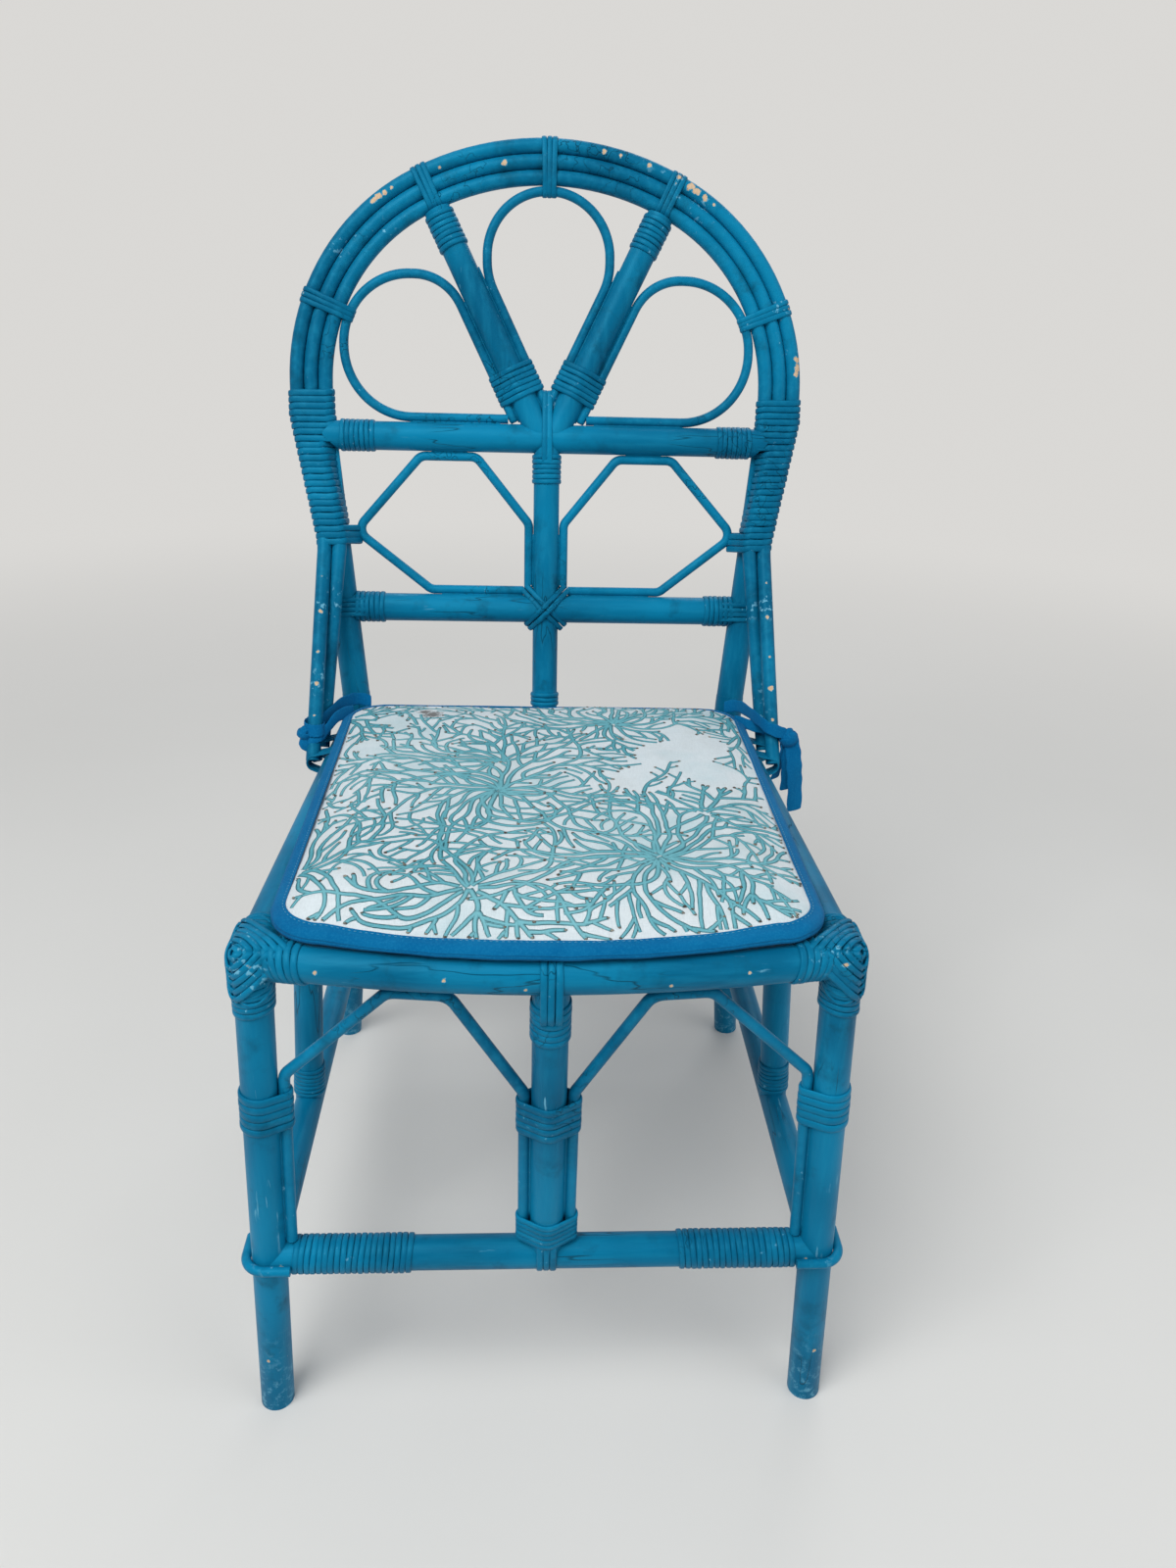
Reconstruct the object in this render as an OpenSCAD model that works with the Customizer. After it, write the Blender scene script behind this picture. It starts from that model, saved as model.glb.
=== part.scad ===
// Painted rattan dining chair with an arched, petal-filled back and a tied seat cushion.
// Millimetres, +Z up, front towards -Y, origin on the floor under the middle of the chair.

/* [Poles and canes] */
// Diameter of the main poles: legs, seat rails, stretcher, back rails
pole_d = 28; // [24:0.5:32]
// Diameter of the lighter side and rear poles
light_pole_d = 26; // [20:0.5:28]
// Diameter of the two fan spokes and the back's centre post
spoke_d = 26; // [20:0.5:28]
// Diameter of each of the three arch canes
arch_cane_d = 14; // [10:0.5:17]
// Diameter of the thin petal, lattice and apron canes
thin_cane_d = 9; // [6:0.5:10]
// Diameter of the seat slats under the cushion
slat_d = 16; // [12:1:20]
// Radial thickness of the wrapped cane binding
binding_t = 2.6; // [1.5:0.1:3]

/* [Seat frame] */
// Height of the seat rails' axis
seat_z = 452; // [420:1:490]
// Half the distance between the front legs' axes at the seat rail
front_half = 214; // [190:1:240]
// How much further out each front foot stands
front_splay = 17.5; // [0:0.5:30]
// Half the distance between the rear poles' axes at the seat rail
rear_half = 194; // [175:1:210]
// How much further out each rear foot stands
rear_splay = 48; // [0:1:60]
// Distance from the front legs' axis to the rear poles' axis at the seat rail
seat_depth = 443; // [400:1:480]
// How far each rear foot stands behind its seat joint
rear_kick = 88; // [0:1:110]
// How far the front rail bows forward at its middle
front_bow = 24; // [10:1:35]
// Half the distance between the side rails' axes at their rear ends
side_rail_rear_half = 200; // [185:1:210]

/* [Stretchers and posts] */
// Height of the stretchers' axis
stretcher_z = 166.5; // [120:0.5:220]
// Distance of the side posts behind the front legs' axis
side_post_y = 192; // [120:1:260]
// Height at which the apron canes leave the front post
apron_fork_z = 341; // [300:1:370]
// Height at which the apron canes reach the front legs
apron_leg_z = 348; // [300:1:380]
// Distance from the middle to each inner corner of the apron canes
apron_inner_x = 73; // [55:1:85]
// Distance from the middle to each outer corner of the apron canes
apron_outer_x = 117; // [100:1:135]

/* [Back] */
// Lean of the back from upright, in degrees
lean = 12; // [6:0.5:18]
// How far each rear pole moves outwards for every millimetre up the back
back_flare = 0.102; // [0:0.002:0.14]
// Distance of the upper rail's axis up the back from the seat rail
upper_rail_v = 296; // [270:1:310]
// Distance of the lower rail's axis up the back from the seat rail
lower_rail_v = 126; // [100:1:150]
// Radius of the arch's outside over its top
arch_top_r = 292.6; // [285:0.2:300]
// Radius of the arch's outside at its shoulders
arch_shoulder_r = 220; // [205:1:225]
// Half the arch's outside width
arch_half = 255; // [245:1:262]
// Distance of the arch's widest point up the back from the seat rail
arch_spring_v = 345; // [335:1:360]
// Distance of the foot of the arch's straight sides up the back
arch_knee_v = 315; // [300:1:325]
// Distance of the long side bindings' lower end up the back
scarf_v = 196; // [180:1:215]
// Slope of the fan spokes, sideways for every millimetre up
spoke_slope = 0.488; // [0.4:0.002:0.55]
// Distance up the back at which the spokes' axes would meet
spoke_meet_v = 285; // [275:1:295]
// Distance of the outer brace's foot ahead of the rear poles, along the seat
brace_outer_gap = 98; // [83:1:123]
// Distance of the inner brace's foot ahead of the rear poles, along the seat
brace_inner_gap = 63; // [48:1:78]

/* [Back canes] */
// Half the width of the centre petal, to its cane's axis
centre_petal_half = 60; // [50:0.5:66]
// Distance of the side petals' outer edge from the middle, to the cane's axis
side_petal_x = 201; // [190:0.5:201]
// Distance of the side petals' top up the back, to the cane's axis
side_petal_v = 449; // [435:1:455]
// Distance of the lattice's inner top corner from the middle
lattice_inner_x = 71; // [60:1:80]
// Distance of the lattice's outer top corner from the middle
lattice_outer_x = 127; // [115:1:140]
// Distance up the back of the lattice's bend beside the centre post
lattice_post_v = 212; // [195:1:225]
// Distance of the lattice's lower outer corner from the middle
lattice_lower_x = 118; // [105:1:130]

/* [Cushion] */
// Half the cushion's width
cushion_half = 203; // [180:1:206]
// Distance of the cushion's rear edge ahead of the rear poles, along the seat
cushion_rear_gap = 19; // [17:1:63]
// How far the cushion's front edge stands ahead of the front legs' axis
cushion_front = 34; // [20:1:38]
// Thickness of the cushion at its sewn edge
cushion_t = 22; // [14:1:32]
// Radius of the cushion's corners
cushion_corner_r = 42; // [25:1:55]
// Diameter of the cushion's piping
piping_d = 5; // [3:0.5:7]
// Width of the fabric ties
tie_w = 15; // [8:1:20]

/* [Hidden] */
$fn = 48;
fit = 0.1;
big = 1200;
// Where a straight cane meets a bend, the bend is thicker by swell and the cane runs let_in into it.
swell = 0.05;
pole_swell = 0.3;
let_in = 0.5;

paint = [0.07, 0.42, 0.60];
cord_paint = [0.06, 0.38, 0.55];
linen = [0.80, 0.84, 0.84];
trim = [0.02, 0.36, 0.62];

pole_r = pole_d / 2;
light_r = light_pole_d / 2;
spoke_r = spoke_d / 2;
arch_r = arch_cane_d / 2;
thin_r = thin_cane_d / 2;
slat_r = slat_d / 2;
brace_outer_y = seat_depth - brace_outer_gap;
brace_inner_y = seat_depth - brace_inner_gap;
cushion_rear_y = seat_depth - cushion_rear_gap;
piping_r = piping_d / 2;
rail_top_z = seat_z + pole_r;

// Rear and front limits of the chair, measured from the front legs' axis, centre it on Y = 0.
arch_top_v = arch_spring_v + arch_rise(0);
rear_limit = seat_depth + (arch_top_v - arch_r) * sin(lean) + (arch_r + binding_t + fit) * cos(lean);
front_limit = front_bow + pole_r + binding_t + fit;
front_y = (front_limit - rear_limit) / 2;

// Height of the arch's outside above its widest point, from its two tangent radii.
function arch_rise(i) =
    let (side = arch_half - arch_shoulder_r, reach = arch_top_r - arch_shoulder_r)
    arch_top_r - sqrt(reach * reach - side * side) - i;

function unit(v) = v / norm(v);
function leg_point(s, z) = [s * (front_half + front_splay * (1 - z / seat_z)), front_y, z];
function rear_point(s, z) = [
    s * (rear_half + rear_splay * (1 - z / seat_z)),
    front_y + seat_depth + rear_kick * (1 - z / seat_z),
    z,
];
// A point on the leaning back: x across, v up the back, w forward of its plane.
function back_point(x, v, w = 0) = [
    x,
    front_y + seat_depth + v * sin(lean) - w * cos(lean),
    seat_z + v * cos(lean) + w * sin(lean),
];
function flare_x(v) = rear_half + back_flare * v;
function spoke_x(v) = spoke_slope * (v - spoke_meet_v);
function bow_y(x) = front_y - front_bow * (1 - pow(x / front_half, 2));
function post_y(z) = front_y - front_bow * (z - stretcher_z) / (seat_z - stretcher_z);

// Puts a child drawn up +Z from the origin onto the line from a to b.
module along(a, b) {
    d = b - a;
    translate(a) rotate([0, acos(d.z / norm(d)), atan2(d.y, d.x)]) children();
}

// A straight pole, its seam turned away from where level cuts cross it.
module rod(a, b, r) along(a, b) rotate([0, 0, 40]) cylinder(h = norm(b - a), r = r);

// A hollow binding of a given wall round the line from a to b.
module sleeve(a, b, r, wall = binding_t) {
    along(a, b) difference() {
        cylinder(h = norm(b - a), r = r + fit + wall);
        translate([0, 0, -1]) cylinder(h = norm(b - a) + 2, r = r + fit);
    }
}

// The bend of radius bend between the lines a-p and p-b, a hair thicker than the rods let into its ends.
module elbow(a, p, b, bend, r) {
    u = unit(p - a);
    v = unit(b - p);
    turn = acos(u * v);
    w = unit(v - (v * u) * u);
    c = p - u * bend * tan(turn / 2) + w * bend;
    e = cross(u, w);
    multmatrix([[-w.x, u.x, e.x, c.x], [-w.y, u.y, e.y, c.y], [-w.z, u.z, e.z, c.z], [0, 0, 0, 1]])
        rotate_extrude(angle = turn) translate([bend, 0]) circle(r + (r < slat_r ? swell : pole_swell));
}

// A pole through the points, bent at each inner point to the matching radius.
module bent_rod(points, bends, r) {
    last = len(points) - 1;
    function turn(i) = acos(unit(points[i] - points[i - 1]) * unit(points[i + 1] - points[i]));
    function cut(i) = i == 0 || i == last ? 0 : bends[i - 1] * tan(turn(i) / 2);
    function into(i) = i == 0 || i == last ? 0 : let_in;
    for (i = [0:last - 1]) {
        d = unit(points[i + 1] - points[i]);
        rod(points[i] + (cut(i) - into(i)) * d, points[i + 1] - (cut(i + 1) - into(i + 1)) * d, r);
    }
    for (i = [1:last - 1]) elbow(points[i - 1], points[i], points[i + 1], bends[i - 1], r);
}

// Children drawn on the back's own plane: X across, Y up the back, +Z forward.
module on_back() {
    translate(back_point(0, 0)) rotate([90 - lean, 0, 0]) children();
}

module below_floor() translate([-big / 2, -big / 2, -big]) cube([big, big, big]);

// ---- seat frame ----

front_leg_drop = 20;
joint_swell = 0.6;

module front_leg_solid(s, grow = 0) {
    rod(leg_point(s, -front_leg_drop), leg_point(s, seat_z), pole_r + grow);
    translate(leg_point(s, seat_z)) sphere(pole_r + joint_swell + grow);
}

module front_leg(s) {
    color(paint) difference() {
        front_leg_solid(s);
        below_floor();
    }
}

seat_bend_r = 160;

module rear_pole_solid(s, grow = 0) {
    bent_rod(
        [rear_point(s, -front_leg_drop), rear_point(s, seat_z), back_point(s * flare_x(scarf_top_v), scarf_top_v)],
        [seat_bend_r], pole_r + grow);
}

// The rear pole is one bent pole from floor to arch, scarfed in front where the arch canes lie on it.
scarf_top_v = arch_spring_v - 6;
scarf_w = 20;

module rear_pole(s) {
    face = arch_r + 2 * fit;
    slope = scarf_w / (arch_knee_v - scarf_v);
    steep = face * sqrt(1 + slope * slope);
    side_view = [
        [scarf_v - scarf_w, scarf_w * (1 + slope) - steep],
        [arch_knee_v, -steep],
        [scarf_top_v + scarf_w, -steep],
        [scarf_top_v + scarf_w, 3 * scarf_w],
        [scarf_v - scarf_w, 3 * scarf_w],
    ];
    color(paint) difference() {
        rear_pole_solid(s);
        below_floor();
        on_back() rotate([90, 0, 90]) linear_extrude(big, center = true) polygon(side_view);
    }
}

bow_r = (front_half * front_half + front_bow * front_bow) / (2 * front_bow);
bow_angle = 2 * asin(front_half / bow_r);

module front_rail_solid(grow = 0) {
    translate([0, front_y - front_bow + bow_r, seat_z]) rotate([0, 0, 270 - bow_angle / 2])
        rotate_extrude(angle = bow_angle) translate([bow_r, 0]) circle(pole_r + grow);
}

module front_seat_rail() {
    color(paint) difference() {
        front_rail_solid();
        for (s = [-1, 1]) front_leg_solid(s, fit);
    }
}

function side_rail_rear(s) = [s * side_rail_rear_half, front_y + seat_depth, seat_z];

module side_rail_solid(s, grow = 0) rod(leg_point(s, seat_z), side_rail_rear(s), pole_r + grow);

module side_seat_rail(s) {
    color(paint) difference() {
        side_rail_solid(s);
        front_leg_solid(s, fit);
        front_rail_solid(fit);
        rear_pole_solid(s, fit);
    }
}

module rear_rail_solid(grow = 0) {
    rod(rear_point(-1, seat_z), rear_point(1, seat_z), light_r + grow);
}

module rear_seat_rail() {
    color(paint) difference() {
        rear_rail_solid();
        for (s = [-1, 1]) {
            rear_pole_solid(s, fit);
            side_rail_solid(s, fit);
        }
    }
}

slat_pitch = 40;
slat_front_gap = 40;
slat_mid_y = (brace_outer_y + brace_inner_y) / 2 + 2;
slat_first = -floor((slat_mid_y - slat_front_gap) / slat_pitch);

// The slats run between the side rails, spaced so that one lies between the two brace bindings.
module seat_slats() {
    color(paint) difference() {
        for (i = [slat_first:1]) {
            y = slat_mid_y + i * slat_pitch;
            translate([-rail_x_at(y), front_y + y, rail_top_z - slat_r - 3])
                rotate([0, 90, 0]) cylinder(h = 2 * rail_x_at(y), r = slat_r);
        }
        for (s = [-1, 1]) side_rail_solid(s, fit);
    }
}

// ---- stretchers and posts ----

module front_stretcher_solid(grow = 0) {
    rod(leg_point(-1, stretcher_z), leg_point(1, stretcher_z), pole_r + grow);
}

module front_stretcher() {
    color(paint) difference() {
        front_stretcher_solid();
        for (s = [-1, 1]) front_leg_solid(s, fit);
    }
}

module side_stretcher_solid(s, grow = 0) {
    rod(leg_point(s, stretcher_z), rear_point(s, stretcher_z), light_r + grow);
}

module side_stretcher(s) {
    color(paint) difference() {
        side_stretcher_solid(s);
        front_leg_solid(s, fit);
        front_stretcher_solid(fit);
        rear_pole_solid(s, fit);
    }
}

module rear_stretcher() {
    color(paint) difference() {
        rod(rear_point(-1, stretcher_z), rear_point(1, stretcher_z), light_r);
        for (s = [-1, 1]) {
            rear_pole_solid(s, fit);
            side_stretcher_solid(s, fit);
        }
    }
}

module front_post_solid(grow = 0) {
    rod([0, post_y(stretcher_z), stretcher_z], [0, post_y(seat_z), seat_z], pole_r - 0.5 + grow);
}

module front_post() {
    color(paint) difference() {
        front_post_solid();
        front_rail_solid(fit);
        front_stretcher_solid(fit);
    }
}

function rail_x_at(y) = front_half + (side_rail_rear_half - front_half) * y / seat_depth;
function stretcher_x_at(y) =
    let (a = leg_point(1, stretcher_z), b = rear_point(1, stretcher_z))
    a.x + (b.x - a.x) * y / (b.y - a.y);
function side_post_foot(s) = [s * stretcher_x_at(side_post_y), front_y + side_post_y, stretcher_z];
function side_post_head(s) = [s * rail_x_at(side_post_y), front_y + side_post_y, seat_z];

module side_post(s) {
    color(paint) difference() {
        rod(side_post_foot(s), side_post_head(s), light_r);
        side_rail_solid(s, fit);
        side_stretcher_solid(s, fit);
    }
}

// ---- back rails, post and spokes ----

module upper_rail_solid(grow = 0) {
    rod(back_point(-flare_x(upper_rail_v), upper_rail_v), back_point(flare_x(upper_rail_v), upper_rail_v),
        pole_r + grow);
}

module lower_rail_solid(grow = 0) {
    rod(back_point(-flare_x(lower_rail_v), lower_rail_v), back_point(flare_x(lower_rail_v), lower_rail_v),
        pole_r + grow);
}

module upper_back_rail() {
    color(paint) difference() {
        upper_rail_solid();
        for (s = [-1, 1]) {
            rear_pole_solid(s, fit);
            for (i = [0:2]) arch_side_solid(s, i, fit);
        }
    }
}

module lower_back_rail() {
    color(paint) difference() {
        lower_rail_solid();
        for (s = [-1, 1]) rear_pole_solid(s, fit);
        back_post_solid(fit);
    }
}

module back_post_solid(grow = 0) {
    rod(back_point(0, 0), back_point(0, upper_rail_v), spoke_r + grow);
}

module back_post() {
    color(paint) difference() {
        back_post_solid();
        upper_rail_solid(fit);
        rear_rail_solid(fit);
    }
}

spoke_reach_v = 530;

module spoke_solid(s, grow = 0) {
    foot_v = upper_rail_v - 4;
    rod(back_point(s * spoke_x(foot_v), foot_v), back_point(s * spoke_x(spoke_reach_v), spoke_reach_v),
        spoke_r + grow);
}

// Each spoke is coped to the upper rail below and to the inner arch cane above.
module fan_spoke(s) {
    color(paint) difference() {
        spoke_solid(s);
        upper_rail_solid(fit);
        on_back() translate([-big / 2, -big / 2, -big / 2]) difference() {
            cube([big, big, big]);
            translate([big / 2, big / 2 + arch_centre_v, 0]) cylinder(h = big, r = arch_inside_r);
        }
        translate([s > 0 ? -big : 0, -big / 2, 0]) cube([big, big, big]);
    }
}

// ---- arch canes, which run on below the bindings as the two braces of each side ----

arch_pitch = arch_cane_d + fit;
arch_centre_v = arch_spring_v + arch_rise(0) - arch_top_r;
arch_inside_r = arch_top_r - 3 * arch_pitch - fit;
arch_shoulder_x = arch_half - arch_shoulder_r;
arch_split = atan2(arch_shoulder_x, arch_spring_v - arch_centre_v);

function arch_in(i) = arch_r + i * arch_pitch;
function arch_side_x(i) = arch_half - arch_in(i);
// The canes fan apart a little on their way down, to pass one another on to their own brace feet.
scarf_spread = 1.08;
outer_brace_out = 2.5;
knee_shift = arch_pitch * tan(6.4);
function scarf_x(i) = flare_x(scarf_v) + (0.5 - i) * arch_pitch * scarf_spread;
brace_x = 0.5 + pole_r + arch_r;
function brace_foot(s, i) =
    let (y = i == 0 ? brace_outer_y : brace_inner_y)
    [s * (rail_x_at(y) + brace_x + (1 - i) * outer_brace_out), front_y + y, seat_z + 3];

function arch_side_points(s, i) = [
    back_point(s * arch_side_x(i), arch_spring_v + let_in),
    back_point(s * arch_side_x(i), arch_knee_v - (1 - i) * knee_shift),
    back_point(s * scarf_x(i), scarf_v, scarf_w),
    brace_foot(s, i),
];
inner_cane_end_v = 290;
knee_bend_r = 100;
brace_bend_r = 90;

module arch_side_solid(s, i, grow = 0) {
    p = arch_side_points(s, i);
    t = (arch_knee_v - inner_cane_end_v) / (arch_knee_v - scarf_v);
    if (i < 2) bent_rod(p, [knee_bend_r, brace_bend_r], arch_r + grow);
    else bent_rod([p[0], p[1], p[1] + t * (p[2] - p[1])], [knee_bend_r], arch_r + grow);
}

module arch_cane(i) {
    top = arch_top_r - arch_in(i);
    shoulder = arch_shoulder_r - arch_in(i);
    lap = 0.1;
    color(paint) {
        on_back() {
            translate([0, arch_centre_v, 0]) rotate([0, 0, 90 - arch_split - lap])
                rotate_extrude(angle = 2 * (arch_split + lap)) translate([top, 0]) circle(arch_r);
            for (s = [0, 1]) mirror([s, 0, 0]) translate([arch_shoulder_x, arch_spring_v, 0])
                rotate_extrude(angle = 90 - arch_split) translate([shoulder, 0]) circle(arch_r + swell);
        }
        for (s = [-1, 1]) arch_side_solid(s, i);
    }
}

// ---- petals, lattice and apron canes ----

// Sideways distance between a spoke's axis and the thin cane that lies along it.
spoke_step = (spoke_r + thin_r + 2 * fit) * sqrt(1 + spoke_slope * spoke_slope);
function inner_line_x(v) = spoke_x(v) - spoke_step;
function outer_line_x(v) = spoke_x(v) + spoke_step;
function inner_line_v(x) = spoke_meet_v + (x + spoke_step) / spoke_slope;

petal_seat_v = upper_rail_v + pole_r + thin_r + 2 * fit;
petal_end_x = thin_r + fit;
petal_top_v = arch_centre_v + arch_inside_r - thin_r - 2 * fit;

module centre_petal_cane() {
    points = [
        [-petal_end_x, inner_line_v(petal_end_x)],
        [-centre_petal_half, inner_line_v(centre_petal_half)],
        [-centre_petal_half, petal_top_v],
        [centre_petal_half, petal_top_v],
        [centre_petal_half, inner_line_v(centre_petal_half)],
        [petal_end_x, inner_line_v(petal_end_x)],
    ];
    bend = centre_petal_half - 0.5;
    color(paint) bent_rod([for (p = points) back_point(p.x, p.y)], [bend, bend, bend, bend], thin_r);
}

side_petal_bend = 66;
spoke_petal_bend = 50;

module side_petal_cane(s) {
    foot_x = outer_line_x(petal_seat_v) + 5;
    points = [
        [foot_x, petal_seat_v],
        [side_petal_x, petal_seat_v],
        [side_petal_x, side_petal_v],
        [outer_line_x(side_petal_v), side_petal_v],
        [outer_line_x(petal_seat_v + 2 * thin_r + 1), petal_seat_v + 2 * thin_r + 1],
    ];
    color(paint) bent_rod([for (p = points) back_point(s * p.x, p.y)],
        [side_petal_bend, side_petal_bend, spoke_petal_bend], thin_r);
}

lattice_bend_r = 12;

module lattice_cane(s) {
    post_x = spoke_r + thin_r + 2 * fit;
    top_v = upper_rail_v - pole_r - thin_r - 2 * fit;
    low_v = lower_rail_v + pole_r + thin_r + 2 * fit;
    tie_v = scarf_v + 7;
    tie_x = flare_x(tie_v) - pole_r - binding_t - thin_r - 4 * fit;
    points = [
        [post_x, low_v + thin_r + 1],
        [post_x, lattice_post_v],
        [lattice_inner_x, top_v],
        [lattice_outer_x, top_v],
        [tie_x, tie_v],
        [lattice_lower_x, low_v],
        [post_x + thin_r + 1, low_v],
    ];
    bends = [for (i = [1:5]) lattice_bend_r];
    color(paint) bent_rod([for (p = points) back_point(s * p.x, p.y)], bends, thin_r);
}

apron_bend_r = 14;

module apron_cane(s) {
    side = pole_r + thin_r + 3 * fit;
    top_z = seat_z - pole_r - thin_r - 2 * fit;
    foot_z = stretcher_z + pole_r + binding_t + 3 * fit;
    leg_top = leg_point(1, apron_leg_z);
    leg_foot = leg_point(1, foot_z);
    points = [
        [side, post_y(foot_z), foot_z],
        [side, post_y(apron_fork_z), apron_fork_z],
        [apron_inner_x, bow_y(apron_inner_x), top_z],
        [apron_outer_x, bow_y(apron_outer_x), top_z],
        [leg_top.x - side, front_y, leg_top.z],
        [leg_foot.x - side, front_y, leg_foot.z],
    ];
    bends = [for (i = [1:4]) apron_bend_r];
    color(paint) bent_rod([for (p = points) [s * p.x, p.y, p.z]], bends, thin_r);
}

// A cane bent round the outer front of each front leg, lying against the two stretchers there.
loop_r = 4;
loop_arm = 20;

module leg_loop(s) {
    ring = pole_r + loop_r + 2 * fit;
    color(paint) translate(leg_point(s, stretcher_z)) {
        rotate([0, 0, s > 0 ? -90 : 180]) rotate_extrude(angle = 90) translate([ring, 0]) circle(loop_r);
        rod([0, -ring, 0], [-s * loop_arm, -ring, 0], loop_r);
        rod([s * ring, 0, 0], [s * ring, loop_arm, 0], loop_r);
    }
}

// ---- bindings ----

// The long side binding: a shell round the pole and canes, drawn through three slices of its outline.
slack = 1;
slice_t = 1;

// Outline, x across and w forward, round the arch canes with the cut-back pole behind them.
function high_outline(v) = [
    [arch_side_x(2) - arch_r, arch_r],
    [arch_side_x(0) + arch_r, arch_r],
    [arch_side_x(0) + arch_r, -arch_r],
    [flare_x(v) + 0.65 * pole_r, -pole_r],
    [flare_x(v) - 0.65 * pole_r, -pole_r],
    [arch_side_x(2) - arch_r, -arch_r],
];

// Outline round the whole pole with the two braces lying on its front.
function low_outline(v) =
    let (x = flare_x(v), edge = pole_r * tan(22.5))
    [
        [x - pole_r, edge], [scarf_x(1) - arch_r, scarf_w], [scarf_x(1) - edge, scarf_w + arch_r],
        [scarf_x(0) + edge, scarf_w + arch_r], [scarf_x(0) + arch_r, scarf_w], [x + pole_r, edge],
        [x + pole_r, -edge], [x + edge, -pole_r], [x - edge, -pole_r], [x - pole_r, -edge],
    ];

module binding_slice(v, outline, grow) {
    on_back() translate([0, v, 0]) rotate([90, 0, 0])
        linear_extrude(slice_t, center = true) offset(delta = grow) polygon(outline);
}

module binding_block(s, grow, longer) {
    top_v = arch_spring_v - 8 + longer;
    knee_v = arch_knee_v - knee_shift;
    low_v = scarf_v - longer;
    mirror([s > 0 ? 0 : 1, 0, 0]) hull() {
        binding_slice(top_v, high_outline(top_v), grow);
        binding_slice(knee_v, high_outline(knee_v), grow);
        binding_slice(low_v, low_outline(low_v), grow);
    }
}

module back_binding(s) {
    color(cord_paint) difference() {
        binding_block(s, slack + binding_t, 0);
        binding_block(s, slack, 2);
        upper_rail_solid(fit);
    }
}

// Straps over the three arch canes: at the top, at each spoke and at each side.
strap_w = 13;

module arch_strap(angle, centre_x, centre_v, r) {
    reach = 3 * arch_pitch;
    on_back() translate([centre_x, centre_v, 0]) rotate([0, 0, angle])
        translate([r - reach, 0, 0]) difference() {
            translate([-fit - binding_t, -strap_w / 2, -arch_r - fit - binding_t])
                cube([reach + 2 * (fit + binding_t), strap_w, 2 * (arch_r + fit + binding_t)]);
            translate([-fit, -strap_w, -arch_r - fit])
                cube([reach + 2 * fit, 2 * strap_w, 2 * (arch_r + fit)]);
        }
}

side_strap_angle = 22;

module arch_straps() {
    spoke_angle = 90 - atan(spoke_slope);
    color(cord_paint) difference() {
        union() {
            arch_strap(90, 0, arch_centre_v, arch_top_r);
            for (a = [spoke_angle, 180 - spoke_angle]) arch_strap(a, 0, arch_centre_v, arch_top_r);
            arch_strap(side_strap_angle, arch_shoulder_x, arch_spring_v, arch_shoulder_r);
            arch_strap(180 - side_strap_angle, -arch_shoulder_x, arch_spring_v, arch_shoulder_r);
        }
        for (s = [-1, 1]) {
            spoke_solid(s, fit);
            thin_cane_clearance(s);
        }
        strap_clearance();
    }
}

// Room for the petal canes where they pass under the straps.
module thin_cane_clearance(s) {
    p = back_point(s * side_petal_x, side_petal_v - side_petal_bend - 20);
    q = back_point(s * side_petal_x, side_petal_v - side_petal_bend + 30);
    rod(p, q, thin_r + 3 * fit);
    on_back() translate([s * (side_petal_x - side_petal_bend), side_petal_v - side_petal_bend, 0])
        rotate([0, 0, s > 0 ? 0 : 90]) rotate_extrude(angle = 90)
            translate([side_petal_bend, 0]) circle(thin_r + 3 * fit);
}

module strap_clearance() {
    on_back() translate([0, petal_top_v, 0]) rotate([0, 90, 0])
        cylinder(h = 60, r = thin_r + 3 * fit, center = true);
}

spoke_low_bind = [336, 361];
spoke_high_bind = [474, 503];

module spoke_bindings() {
    color(cord_paint) for (s = [-1, 1], span = [spoke_low_bind, spoke_high_bind]) difference() {
        sleeve(back_point(s * spoke_x(span[0]), span[0]), back_point(s * spoke_x(span[1]), span[1]), spoke_r);
        for (side = [-1, 1]) rod(
            back_point(s * (spoke_x(300) + side * spoke_step), 300),
            back_point(s * (spoke_x(440) + side * spoke_step), 440), thin_r + fit);
        translate([s > 0 ? -big : 0, -big / 2, 0]) cube([big, big, big]);
    }
}

rail_bind_len = 33;

module rail_bindings(v, wall_x) {
    color(cord_paint) for (s = [-1, 1]) difference() {
        sleeve(back_point(s * (wall_x - rail_bind_len), v), back_point(s * wall_x, v), pole_r);
        rear_pole_solid(s, fit);
        arch_side_solid(s, 2, fit);
        back_binding_shadow(s);
    }
}

// The part of the long side binding that a rail binding stops against.
shadow_step = 6;

module back_binding_shadow(s) {
    on_back() translate([s * (arch_side_x(2) - arch_r - slack - binding_t - shadow_step), 0, 0])
        translate([s > 0 ? 0 : -big, upper_rail_v - 40, -big / 2]) cube([big, 80, big]);
}

module upper_rail_bindings() rail_bindings(upper_rail_v, arch_side_x(2) - arch_r);
module lower_rail_bindings() rail_bindings(lower_rail_v, flare_x(lower_rail_v) - pole_r + 6);

post_top_bind = [253, 281];
post_foot_bind = [26, 38];

module back_post_bindings() {
    color(cord_paint) difference() {
        for (span = [post_top_bind, post_foot_bind])
            sleeve(back_point(0, span[0]), back_point(0, span[1]), spoke_r);
        upper_rail_solid(fit);
        rear_rail_solid(fit);
        for (s = [-1, 1]) rod(back_point(s * lattice_inner_x, post_top_bind[1] - 8),
            back_point(0, post_top_bind[1] - 80), thin_r + fit);
    }
}

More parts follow.
